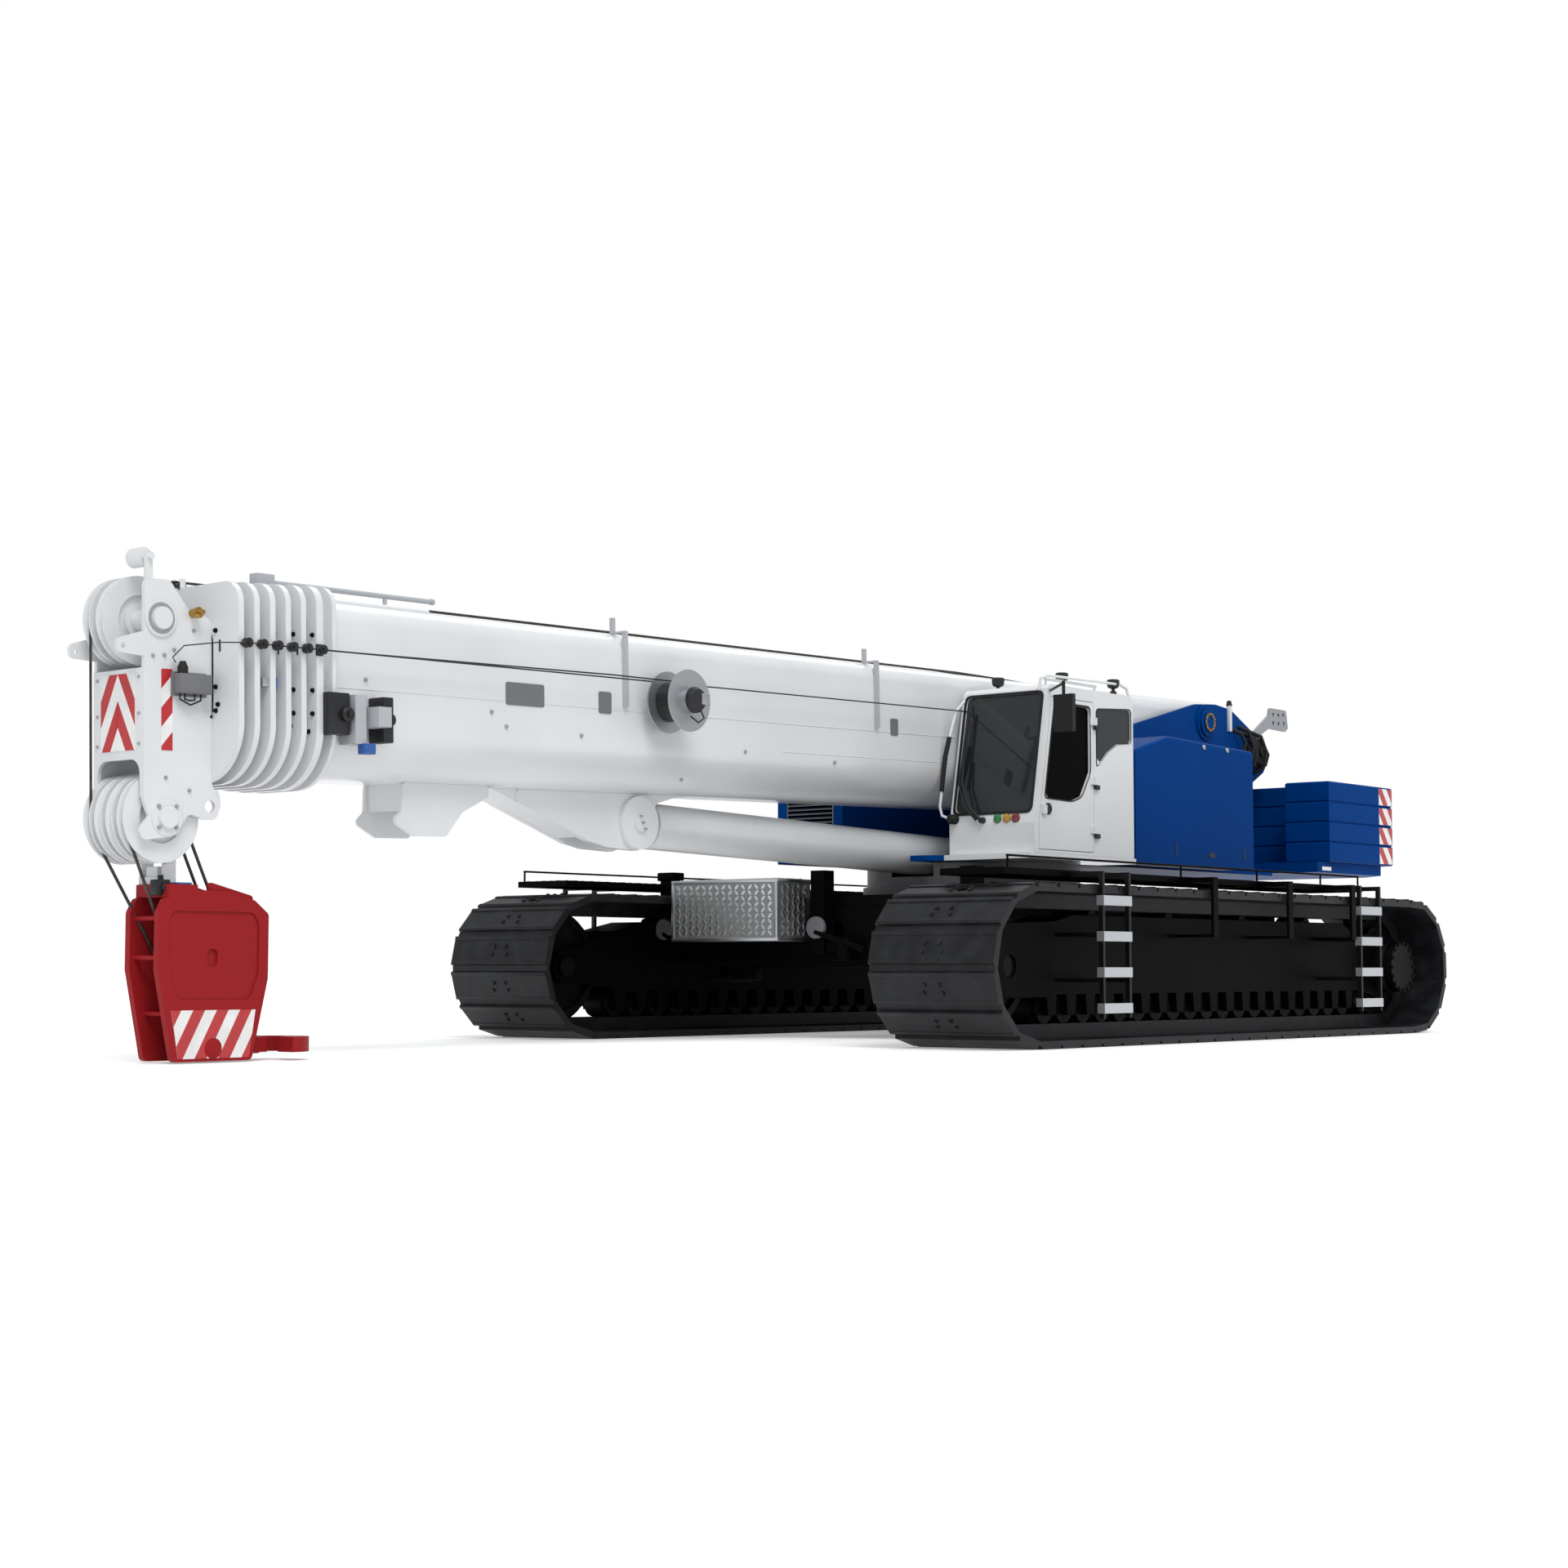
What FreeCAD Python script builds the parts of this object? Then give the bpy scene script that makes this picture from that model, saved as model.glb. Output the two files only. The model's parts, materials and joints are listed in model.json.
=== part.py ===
import FreeCAD, Part
import os
from math import sin, cos, tan, radians, pi, sqrt, atan2, degrees

# Telescopic crawler crane, millimetres. X runs forward to the boom's tip, Y to the cab's side (left)
# and Z up from the ground. Sizes are written about the slewing axis; SHIFT_X then moves the whole
# crane so that the origin lies under the middle of its overall length.
os.makedirs("parts", exist_ok=True)

# overall
TAIL_X = -5900.0            # rear face of the counterweight
NOSE_X = 10044.0            # front of the guide eye on the boom head
SHIFT_X = -(TAIL_X + NOSE_X) / 2
FIT = 0.3                   # gap at a seat or round a pin

# crawlers
TRACK_LEN = 8050.0
TRACK_HIGH = 1300.0
TRACK_Y = 2385.0            # middle of each crawler
SHOE_WIDE = 1200.0
SHOES = 57
SHOE_THICK = 38.0
GROUSER = 27.0              # raised part of a shoe above its joints
SHOE_JOINT = 16.0           # half the groove between two shoes
RAIL_HIGH = 118.0           # chain rail below the shoe
RAIL_WIDE = 56.0
RAIL_Y = 120.0              # each rail's middle from the crawler's middle
END_X = TRACK_LEN / 2 - TRACK_HIGH / 2
MID_Z = TRACK_HIGH / 2
WHEEL_R = TRACK_HIGH / 2 - GROUSER - SHOE_THICK - RAIL_HIGH

FRAME_WIDE = 430.0
FRAME_LOW = 420.0
FRAME_TOP = 1070.0
FRAME_FRONT = END_X - 625
FRAME_REAR = 555 - END_X
ROLLER_R = 122.0
ROLLERS = 19
ROLLER_PITCH = 292.0
ROLLER_WIDE = 330.0
TOP_ROLLER_R = 70.0
TOP_ROLLERS_X = (-1900.0, -650.0, 650.0, 1900.0)
NOSE_WIDE = 630.0
NOSE_END = END_X + 185
HUB_R = 270.0
HUB_SEAT_R = 330.0
HUB_OUT = 425.0             # hub drive's face from the crawler's middle
SPROCKET_TEETH = 17

# carbody
BODY_HALF_X = 1950.0
BODY_HALF_Y = 1050.0
BODY_LOW = 640.0
BODY_TOP = 1290.0
BEAM_WIDE = 620.0
BEAM_LOW = 700.0
BEAM_TOP = 1180.0
BODY_WALL = 25.0
RING_R = 1060.0
RING_BORE = 860.0
RING_LOW = BODY_TOP
RING_SPLIT = 1400.0
WELL_LOW = 1484.0           # the ring's upper flange is open above this for the luffing cylinder
RING_TOP = 1610.0

# superstructure
FLOOR_LOW = RING_TOP
FLOOR_THICK = 50.0
SIDE_Y = 620.0              # outer face of the two boom-foot plates
SIDE_THICK = 45.0
WELL_X = (-700.0, 1360.0)
WELL_Y = 240.0              # half width of the well for the luffing cylinder
EYE_SLOT_X = (-1480.0, -690.0)     # slot behind the well, where the rod's eye dips while luffing
FOOT_X, FOOT_Z = -3380.0, 3220.0     # boom foot pin
FOOT_PIN_R = 95.0
DECK_Z = FLOOR_LOW + FLOOR_THICK

HOUSE_FRONT = -540.0
HOUSE_REAR = -2810.0
HOUSE_Y = 1485.0
HOUSE_LOW = 1630.0
HOUSE_TOP = 2870.0
HOOD_FRONT = 1150.0
HOOD_Y = (-1490.0, -700.0)
HOOD_TOP = 2450.0
HOOD_WALL = 22.0

SLABS = 4
SLAB_HIGH = 213.0
SLAB_LOW = 1750.0
SLAB_HALF_Y = 1640.0
SLAB_FRONT = -4160.0
FLOOR_REAR = -4000.0          # rear edge of the turntable's floor plate
SLAB_CORNER = 430.0
TRAY_LOW = 1640.0
SLAB_EDGE = 14.0             # chamfer along each slab's upper and lower edges

# cab
CAB_FRONT = 1180.0
CAB_REAR = -505.0
CAB_Y = (560.0, 1485.0)
CAB_LOW = 1660.0
CAB_TOP = 3190.0
CAB_LEAN = 235.0            # how far the windscreen leans back at its top
CAB_WALL = 45.0
GLASS_THICK = 8.0
DOOR_REAR = 190.0           # door's hinge edge

# boom, in its own frame: u along the boom from the foot pin, v square to it
BOOM_DROP = 1.4             # the boom lies this many degrees below level
BOOM_TOP_V = 250.0
BOOM_HIGH = 1235.0
BOOM_WIDE = 1000.0
BOOM_ROOT_U = -560.0
BOOM_END_U = 12030.0
BOOM_WALL = 16.0
TELE_WALL = 14.0
TOP_CORNER = 150.0
LOW_CORNER = 370.0
SECTION_STEP = 40.0         # each section is smaller by this on every side
SECTIONS = 5
COLLAR_PITCH = 128.0
COLLAR_THICK = 46.0
COLLAR_OUT = 84.0
TELE_BACK = 11500.0         # length of each section behind its collar
TELE_TRAVEL = 9380.0

LUFF_U, LUFF_V = 8362.0, -1216.0
LUFF_PIN_R = 75.0
LUFF_LOW_X, LUFF_LOW_Z = -400.0, 1655.0
BARREL_R = 190.0
BARREL_SHORT = 452.0        # from the barrel's open end to the rod's eye with the cylinder closed
BARREL_START = 260.0        # from the boom pin to the barrel's closed end
PISTON = 110.0
GLAND = 130.0
ROD_R = 125.0
EYE_R = 150.0
EYE_WIDE = 190.0

UPPER_U, UPPER_V = 13090.0, 32.0
LOWER_U, LOWER_V = 13045.0, -1280.0
UPPER_SHEAVE_R = 300.0
LOWER_SHEAVE_R = 300.0
SHAFT_R = 75.0
HEAD_HALF_Y = 270.0
HEAD_PLATE = 28.0
JIB_U, JIB_V = 12690.0, -1200.0      # bores for a jib's lower pins, clear of the lower sheaves
JIB_BORE_R = 42.0
HEAD_FRONT_U = 13225.0       # front edge of the head's side plates

# hook block, hanging straight down below the lower shaft
HOOK_X, HOOK_Y = 9200.0, 60.0
BLOCK_LOW = 12.0
BLOCK_TOP = 1150.0
BLOCK_GAP = 130.0           # half the gap between the cheeks
CHEEK = 50.0

V = FreeCAD.Vector
X_AXIS, Y_AXIS, Z_AXIS = V(1, 0, 0), V(0, 1, 0), V(0, 0, 1)
parts = {}


def box(x0, x1, y0, y1, z0, z1):
    return Part.makeBox(x1 - x0, y1 - y0, z1 - z0, V(x0, y0, z0))


def rod_y(x, z, y0, y1, r):
    return Part.makeCylinder(r, y1 - y0, V(x, y0, z), Y_AXIS)


def rod_z(x, y, z0, z1, r):
    return Part.makeCylinder(r, z1 - z0, V(x, y, z0), Z_AXIS)


def rod_x(y, z, x0, x1, r):
    return Part.makeCylinder(r, x1 - x0, V(x0, y, z), X_AXIS)


def bar(a, b, r):
    a, b = V(*a), V(*b)
    return Part.makeCylinder(r, (b - a).Length, a, b - a)


def face(points):
    return Part.Face(Part.makePolygon([V(*p) for p in points] + [V(*points[0])]))


def side_plate(points, y0, y1):
    """Points are (x, z); the plate runs from y0 to y1."""
    return face([(x, y0, z) for x, z in points]).extrude(V(0, y1 - y0, 0))


def floor_plate(points, z0, z1):
    """Points are (x, y); the plate runs from z0 to z1."""
    return face([(x, y, z0) for x, y in points]).extrude(V(0, 0, z1 - z0))


def front_plate(points, x0, x1):
    """Points are (y, z); the plate runs from x0 to x1."""
    return face([(x0, y, z) for y, z in points]).extrude(V(x1 - x0, 0, 0))


def rounded(points, r):
    """Face with the given corners, each rounded by r, or by less where its sides are short."""
    n, arcs = len(points), []
    for i, p in enumerate(points):
        a, b = points[i - 1] - p, points[(i + 1) % n] - p
        shortest = min(a.Length, b.Length)
        a.normalize()
        b.normalize()
        half = a.getAngle(b) / 2
        reach = min(r / tan(half), 0.45 * shortest)
        own = reach * tan(half)
        inward = (a + b).normalize()
        arcs.append((p + a * reach, p + inward * (own / sin(half) - own), p + b * reach))
    edges = []
    for i in range(n):
        edges.append(Part.Arc(*arcs[i]).toShape())
        edges.append(Part.LineSegment(arcs[i][2], arcs[(i + 1) % n][0]).toShape())
    return Part.Face(Part.Wire(edges))


def soft_plate(points, r, y0, y1):
    """Plate between two y's with rounded corners; the outline's columns are x and z."""
    return rounded([V(x, y0, z) for x, z in points], r).extrude(V(0, y1 - y0, 0))


def fuse(first, *others):
    return first.fuse([s for s in others]).removeSplitter() if others else first


def mirror(shape):
    return shape.mirror(V(0, 0, 0), Y_AXIS)


def boom_place(shape):
    """From the boom's level frame, with its foot pin at the origin, to where it lies."""
    out = shape.copy()
    out.rotate(V(0, 0, 0), Y_AXIS, BOOM_DROP)
    out.translate(V(FOOT_X, 0, FOOT_Z))
    return out


def boom_xz(u, v):
    a = radians(BOOM_DROP)
    return FOOT_X + u * cos(a) + v * sin(a), FOOT_Z - u * sin(a) + v * cos(a)


def save(name, *solids):
    shape = solids[0] if len(solids) == 1 else Part.makeCompound(list(solids))
    out = shape.copy()
    out.translate(V(SHIFT_X, 0, 0))
    parts[name] = out
    out.exportStep("parts/" + name + ".step")


# The crawler's line: straight below, round the rear, straight above, round the front.
def track_line(s, r):
    straight, turn = 2 * END_X, pi * r
    s = s % (2 * straight + 2 * turn)
    if s < straight:
        return END_X - s, MID_Z - r
    s -= straight
    if s < turn:
        a = s / r
        return -END_X - r * sin(a), MID_Z - r * cos(a)
    s -= turn
    if s < straight:
        return -END_X + s, MID_Z + r
    a = (s - straight) / r
    return END_X + r * sin(a), MID_Z + r * cos(a)


def stadium(r, y0, y1):
    low, top = MID_Z - r, MID_Z + r
    edges = [
        Part.LineSegment(V(END_X, y0, low), V(-END_X, y0, low)).toShape(),
        Part.Arc(V(-END_X, y0, low), V(-END_X - r, y0, MID_Z), V(-END_X, y0, top)).toShape(),
        Part.LineSegment(V(-END_X, y0, top), V(END_X, y0, top)).toShape(),
        Part.Arc(V(END_X, y0, top), V(END_X + r, y0, MID_Z), V(END_X, y0, low)).toShape(),
    ]
    return Part.Face(Part.Wire(edges)).extrude(V(0, y1 - y0, 0))


def track_loop():
    """One crawler on its own middle plane: shoes with raised plates, on two chain rails."""
    r_pin = TRACK_HIGH / 2 - GROUSER - SHOE_THICK
    length = 4 * END_X + 2 * pi * r_pin
    joints = [track_line(i * length / SHOES, r_pin) for i in range(SHOES)]
    outer = []
    for i in range(SHOES):
        (xa, za), (xb, zb) = joints[i], joints[(i + 1) % SHOES]
        d = sqrt((xb - xa) ** 2 + (zb - za) ** 2)
        tx, tz = (xb - xa) / d, (zb - za) / d
        nx, nz = tz, -tx
        if nx * (xa + xb) / 2 + nz * ((za + zb) / 2 - MID_Z) < 0:
            nx, nz = -nx, -nz
        # along the shoe, height above the chain
        for along, high in ((SHOE_JOINT, SHOE_THICK), (SHOE_JOINT + 4, SHOE_THICK + GROUSER),
                            (d - SHOE_JOINT - 4, SHOE_THICK + GROUSER), (d - SHOE_JOINT, SHOE_THICK)):
            outer.append((xa + tx * along + nx * high, za + tz * along + nz * high))
    half = SHOE_WIDE / 2
    shoes = side_plate(outer, -half, half)
    shoes = shoes.cut(side_plate(joints, -half, half))
    rails = []
    for y in (-RAIL_Y, RAIL_Y):
        ring = stadium(r_pin, y - RAIL_WIDE / 2, y + RAIL_WIDE / 2)
        ring = ring.cut(stadium(r_pin - RAIL_HIGH, y - RAIL_WIDE / 2, y + RAIL_WIDE / 2))
        rails.append(ring.cut(shoes))
    loop = shoes.fuse(rails)
    low = loop.BoundBox.ZMin
    loop.translate(V(0, 0, -low))
    return loop


def crawler(side):
    """Builds one crawler at y = side * TRACK_Y; side is 1 left, -1 right."""
    tag = "l" if side > 0 else "r"
    y = side * TRACK_Y

    def put(shape):
        out = shape if side > 0 else mirror(shape)
        out = out.copy()
        out.translate(V(0, y, 0))
        return out

    save("track_loop_" + tag, put(track_loop()))

    half = FRAME_WIDE / 2
    frame = side_plate([(FRAME_FRONT, FRAME_LOW), (FRAME_FRONT, FRAME_TOP - 90), (2300, FRAME_TOP),
                        (-2500, FRAME_TOP), (FRAME_REAR, FRAME_TOP - 120), (FRAME_REAR, FRAME_LOW)],
                       -half, half)
    # yokes at the front and the drive's mounting plates at the rear
    yoke_y = RAIL_Y + RAIL_WIDE / 2 + 20
    solids = [frame]
    for y0, y1 in ((-half, -yoke_y), (yoke_y, half)):
        solids.append(side_plate([(FRAME_FRONT - 10, FRAME_LOW + 30), (END_X, MID_Z - 140),
                                  (END_X + 110, MID_Z), (END_X, MID_Z + 140),
                                  (FRAME_FRONT - 10, FRAME_TOP - 120)], y0, y1))
        solids.append(rod_y(END_X, MID_Z, y0, y1, 150))
        solids.append(side_plate([(FRAME_REAR + 10, FRAME_LOW + 10), (-END_X, MID_Z - HUB_SEAT_R),
                                  (-END_X, MID_Z + HUB_SEAT_R), (FRAME_REAR + 10, FRAME_TOP - 110)], y0, y1))
        solids.append(rod_y(-END_X, MID_Z, y0, y1, HUB_SEAT_R))
    # outer nose box over the idler's yoke
    solids.append(side_plate([(NOSE_END, 470), (NOSE_END, 900), (NOSE_END - 80, 985), (FRAME_FRONT - 10, 1010),
                              (FRAME_FRONT - 10, 400), (NOSE_END - 100, 400)], half - 5, NOSE_WIDE / 2))
    # roller brackets below the frame
    first = -(ROLLERS - 1) / 2 * ROLLER_PITCH
    axle_z = GROUSER + SHOE_THICK + RAIL_HIGH + ROLLER_R
    for i in range(ROLLERS):
        x = first + i * ROLLER_PITCH
        for y0, y1 in ((-half, -ROLLER_WIDE / 2), (ROLLER_WIDE / 2, half)):
            solids.append(side_plate([(x - 75, FRAME_LOW + 5), (x - 55, axle_z - 55), (x + 55, axle_z - 55),
                                      (x + 75, FRAME_LOW + 5)], y0, y1))
    frame = solids[0].fuse(solids[1:]).removeSplitter()
    for x in (END_X, -END_X):
        frame = frame.cut(rod_y(x, MID_Z, -NOSE_WIDE, NOSE_WIDE, 90 if x > 0 else HUB_R - 20))
    # channel that the rollers turn in, and the window for the drive wheel
    frame = frame.cut(box(first - 200, -first + 200, -ROLLER_WIDE / 2, ROLLER_WIDE / 2,
                          axle_z, axle_z + ROLLER_R + 30))
    for x in TOP_ROLLERS_X:
        frame = frame.cut(box(x - 90, x + 90, -ROLLER_WIDE / 2, ROLLER_WIDE / 2, FRAME_TOP - 130, FRAME_TOP + 10))
    save("track_frame_" + tag, put(frame))

    rollers = []
    w = ROLLER_WIDE / 2
    for i in range(ROLLERS):
        x = first + i * ROLLER_PITCH
        tread = rod_y(x, axle_z, -w + 25, w - 25, ROLLER_R - FIT)
        waist = rod_y(x, axle_z, -RAIL_Y + RAIL_WIDE / 2 + 6, RAIL_Y - RAIL_WIDE / 2 - 6, ROLLER_R + 16)
        rollers.append(fuse(tread, waist, rod_y(x, axle_z, -w, w, 50)))
    top_z = TRACK_HIGH - GROUSER - SHOE_THICK - RAIL_HIGH - TOP_ROLLER_R - FIT
    for x in TOP_ROLLERS_X:
        rollers.append(fuse(rod_y(x, top_z, -w, w, 30), rod_y(x, top_z, -w + 20, w - 20, TOP_ROLLER_R)))
    save("rollers_" + tag, *[put(r) for r in rollers])

    gap = RAIL_Y - RAIL_WIDE / 2 - 8
    idler = fuse(rod_y(END_X, MID_Z, -150, 150, WHEEL_R - FIT), rod_y(END_X, MID_Z, -gap, gap, WHEEL_R + 45))
    idler = idler.cut(rod_y(END_X, MID_Z, 110, 200, WHEEL_R - 60)).cut(
        rod_y(END_X, MID_Z, -200, -110, WHEEL_R - 60))
    idler = fuse(idler, rod_y(END_X, MID_Z, -NOSE_WIDE / 2 + 60, NOSE_WIDE / 2 - 20, 90 - FIT))
    save("idler_" + tag, put(idler))

    teeth = []
    for i in range(SPROCKET_TEETH):
        a0 = 2 * pi * i / SPROCKET_TEETH
        for da, r in ((-0.105, WHEEL_R - 6), (-0.04, WHEEL_R + 62), (0.04, WHEEL_R + 62), (0.105, WHEEL_R - 6)):
            teeth.append((-END_X + r * cos(a0 + da), MID_Z + r * sin(a0 + da)))
    sprocket = side_plate(teeth, -gap, gap)
    sprocket = fuse(sprocket, rod_y(-END_X, MID_Z, -150, 150, WHEEL_R - 70))
    hub = rod_y(-END_X, MID_Z, -half - 60, HUB_OUT, HUB_R - 20 - FIT)
    cover = Part.makeCone(HUB_R, HUB_R - 50, 60, V(-END_X, half + 90, MID_Z), Y_AXIS)
    sprocket = fuse(sprocket, hub, cover)
    save("sprocket_" + tag, put(sprocket))


crawler(1)
crawler(-1)

# carbody: a box with two cross beams that carry the crawler frames
FRAME_IN = TRACK_Y - FRAME_WIDE / 2
beams = [box(-BODY_HALF_X, -BODY_HALF_X + BEAM_WIDE, -FRAME_IN, FRAME_IN, BEAM_LOW, BEAM_TOP),
         box(BODY_HALF_X - BEAM_WIDE, BODY_HALF_X, -FRAME_IN, FRAME_IN, BEAM_LOW, BEAM_TOP)]
middle = floor_plate([(BODY_HALF_X - 20, -BODY_HALF_Y), (BODY_HALF_X - 20, BODY_HALF_Y),
                      (-BODY_HALF_X + 20, BODY_HALF_Y), (-BODY_HALF_X + 20, -BODY_HALF_Y)],
                     BODY_LOW, BODY_TOP)
seat = rod_z(0, 0, BODY_LOW, RING_LOW, RING_R + 60)
carbody = middle.fuse(beams + [seat]).removeSplitter()
carbody = carbody.cut(rod_z(0, 0, BODY_LOW + BODY_WALL, BODY_TOP + 10, RING_BORE))
carbody = carbody.cut(rod_x(-150, BODY_LOW + 330, BODY_HALF_X - 300, BODY_HALF_X + 10, 90))
save("carbody", carbody)
save("slew_ring_lower", rod_z(0, 0, RING_LOW, RING_SPLIT, RING_R).cut(
    rod_z(0, 0, RING_LOW, RING_SPLIT, RING_BORE)))

# walkway along each crawler, with its outer rail, brackets, and two ladders
DECK_LOW, DECK_TOP = 1375.0, 1430.0
WALK_X = (-2750.0, 3450.0)
WALK_Y = (2080.0, 2700.0)
RAIL_X = (-2680.0, 3380.0)
OUT_Y = 3030.0
LADDER_X = (2310.0, -2250.0)
LADDER_WIDE = 430.0
RUNG_Z = (270.0, 560.0, 850.0, 1140.0)
RUNG_HIGH = 80.0
POSTS_X = (-1900.0, -660.0, 700.0)
FRAME_OUT = TRACK_Y + FRAME_WIDE / 2


def walkway(side):
    tag = "l" if side > 0 else "r"
    put = (lambda s: s) if side > 0 else mirror
    deck = box(WALK_X[0], WALK_X[1], WALK_Y[0], WALK_Y[1], DECK_TOP - 12, DECK_TOP)
    edge = [box(WALK_X[0], WALK_X[1], y, y + 14, DECK_LOW, DECK_TOP) for y in (WALK_Y[0], WALK_Y[1] - 14)]
    ends = [box(x, x + 14, WALK_Y[0], WALK_Y[1], DECK_LOW, DECK_TOP) for x in (WALK_X[0], WALK_X[1] - 14)]
    solids = edge + ends
    for x in POSTS_X:
        solids.append(box(x - 40, x + 40, WALK_Y[0] + 5, OUT_Y, DECK_LOW, DECK_TOP - 12))
        solids.append(box(x - 40, x + 40, OUT_Y - 26, OUT_Y, 900, DECK_TOP - 12))
        solids.append(box(x - 40, x + 40, FRAME_OUT, OUT_Y, 900, 926))
    rail_y = WALK_Y[1] - 14
    for x in (RAIL_X[0], POSTS_X[0], POSTS_X[1], POSTS_X[2], RAIL_X[1]):
        solids.append(rod_z(x, rail_y, DECK_TOP - 5, DECK_TOP + 95, 9))
    solids.append(rod_x(rail_y, DECK_TOP + 95, RAIL_X[0] - 9, RAIL_X[1] + 9, 9))
    save("walkway_" + tag, put(deck.fuse(solids).removeSplitter()))
    ladders = []
    for xc in LADDER_X:
        half = LADDER_WIDE / 2
        pieces = []
        for x in (xc - half, xc + half - 30):
            pieces.append(box(x, x + 30, OUT_Y - 40, OUT_Y, RUNG_Z[0] - 40, DECK_TOP - 14))
            pieces.append(box(x, x + 30, WALK_Y[1], OUT_Y, DECK_LOW, DECK_TOP - 14))
            for z in (RUNG_Z[1] - 40, RUNG_Z[2] + 40):
                pieces.append(box(x, x + 30, FRAME_OUT, OUT_Y - 20, z, z + 30))
        for z in RUNG_Z:
            pieces.append(box(xc - half, xc + half, OUT_Y - 60, OUT_Y + 10, z, z + RUNG_HIGH))
        ladders.append(put(fuse(*pieces)))
    save("ladders_" + tag, *ladders)


walkway(1)
walkway(-1)

# checker-plate step box and the jack arms at the carbody's front
STEP_X = (BODY_HALF_X + FIT, 2420.0)
STEP_Y = (-1720.0, -450.0)
STEP_Z = (880.0, 1440.0)
step = box(STEP_X[0], STEP_X[1], STEP_Y[0], STEP_Y[1], STEP_Z[0], STEP_Z[1])
step = step.cut(box(STEP_X[0] + 4, STEP_X[1] - 4, STEP_Y[0] + 4, STEP_Y[1] - 4, STEP_Z[0] - 5, STEP_Z[1] - 4))
step = fuse(step, box(STEP_X[0], STEP_X[0] + 8, STEP_Y[0], STEP_Y[1], STEP_Z[0], STEP_Z[1]))
save("step_box", step)
# y of each jack post, its foot pad's reach forward
JACK_TOP = 1515.0
jacks = []
for x_in, y, reach in ((BODY_HALF_X, 1400, 520), (BODY_HALF_X, -250, 520), (-BODY_HALF_X, 1400, -520),
                       (-BODY_HALF_X, -1400, -520)):
    s = 1 if x_in > 0 else -1
    x0, x1 = sorted((x_in + s * FIT, x_in + s * 150))
    post = box(x0, x1, y - 75, y + 75, 760, JACK_TOP)
    foot = box(x0 + 30, x1 - 30, y - 300, y + 300, 780, 860)
    jacks.append(fuse(post, foot, rod_z(x_in + s * 110, y + 300, 700, 900, 100)))
save("jack_posts", *jacks)

# turntable: floor plate with an open well, two boom-foot plates, cross plates and the luffing lugs
floor = floor_plate([(1100, -640), (1350, -400), (1350, 400), (1100, 640), (-900, 1050), (FLOOR_REAR, 1050),
                     (FLOOR_REAR, -1050), (-900, -1050)], FLOOR_LOW, DECK_Z)
EYE_SLOT_Y = EYE_WIDE / 2 + 10
floor = floor.cut(box(WELL_X[0], WELL_X[1], -WELL_Y, WELL_Y, FLOOR_LOW, DECK_Z))
floor = floor.cut(box(EYE_SLOT_X[0], EYE_SLOT_X[1], -EYE_SLOT_Y, EYE_SLOT_Y, FLOOR_LOW, DECK_Z))
side_out = [(-560, DECK_Z - 5), (-560, 1950), (-1500, 2600), (-1980, 3100), (-3190, 3400), (-3600, 3430),
            (-3930, 3400), (-4500, 3150), (-4700, 2800), (-4000, 2450), (-4000, DECK_Z - 5)]
plates = []
for y in (SIDE_Y - SIDE_THICK, -SIDE_Y):
    plate = soft_plate(side_out, 90, y, y + SIDE_THICK)
    plate = plate.fuse(rod_y(FOOT_X, FOOT_Z, y - 20 if y < 0 else y, (y if y < 0 else y + 20) + SIDE_THICK, 190))
    plates.append(plate)
cross = [box(-2600, -2560, -SIDE_Y + 10, SIDE_Y - 10, DECK_Z - 5, 2050),
         box(-4000, -3960, -SIDE_Y + 10, SIDE_Y - 10, DECK_Z - 5, 2000)]
lugs = []
for y0, y1 in ((EYE_WIDE / 2 + 12, EYE_WIDE / 2 + 62), (-EYE_WIDE / 2 - 62, -EYE_WIDE / 2 - 12)):
    lug = side_plate([(-1150, DECK_Z - 5), (-1150, 1900), (-560, 1860), (-250, 1780), (-210, 1600), (-300, 1510),
                      (-500, 1510), (-640, FLOOR_LOW + 5)], y0, y1)
    lugs.append(lug)
    y0, y1 = sorted((y0, (SIDE_Y - 10) * (1 if y0 > 0 else -1)))
    lugs.append(box(-1150, -1110, y0, y1, DECK_Z - 5, 1800))
turntable = floor.fuse(plates + cross + lugs).removeSplitter()
turntable = turntable.cut(rod_y(FOOT_X, FOOT_Z, -SIDE_Y - 50, SIDE_Y + 50, FOOT_PIN_R + FIT))
save("turntable_frame", turntable)
save("luff_pin", *[rod_y(LUFF_LOW_X, LUFF_LOW_Z, s, s + 55, 70) for s in
                   (EYE_WIDE / 2 + 62 + FIT, -EYE_WIDE / 2 - 62 - 55 - FIT)])
ring = rod_z(0, 0, RING_SPLIT + FIT, FLOOR_LOW, RING_R - 40).cut(
    rod_z(0, 0, RING_SPLIT, FLOOR_LOW, RING_BORE))
ring = ring.cut(box(0, WELL_X[1], -WELL_Y, WELL_Y, WELL_LOW, FLOOR_LOW))
save("slew_ring_upper", ring.cut(box(-RING_R, 0, -EYE_SLOT_Y, EYE_SLOT_Y, WELL_LOW, FLOOR_LOW)))
save("boom_pin", rod_y(FOOT_X, FOOT_Z, -SIDE_Y - 60, SIDE_Y + 60, FOOT_PIN_R).fuse(
    rod_y(FOOT_X, FOOT_Z, SIDE_Y + 21, SIDE_Y + 45, FOOT_PIN_R + 55)).removeSplitter())

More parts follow.
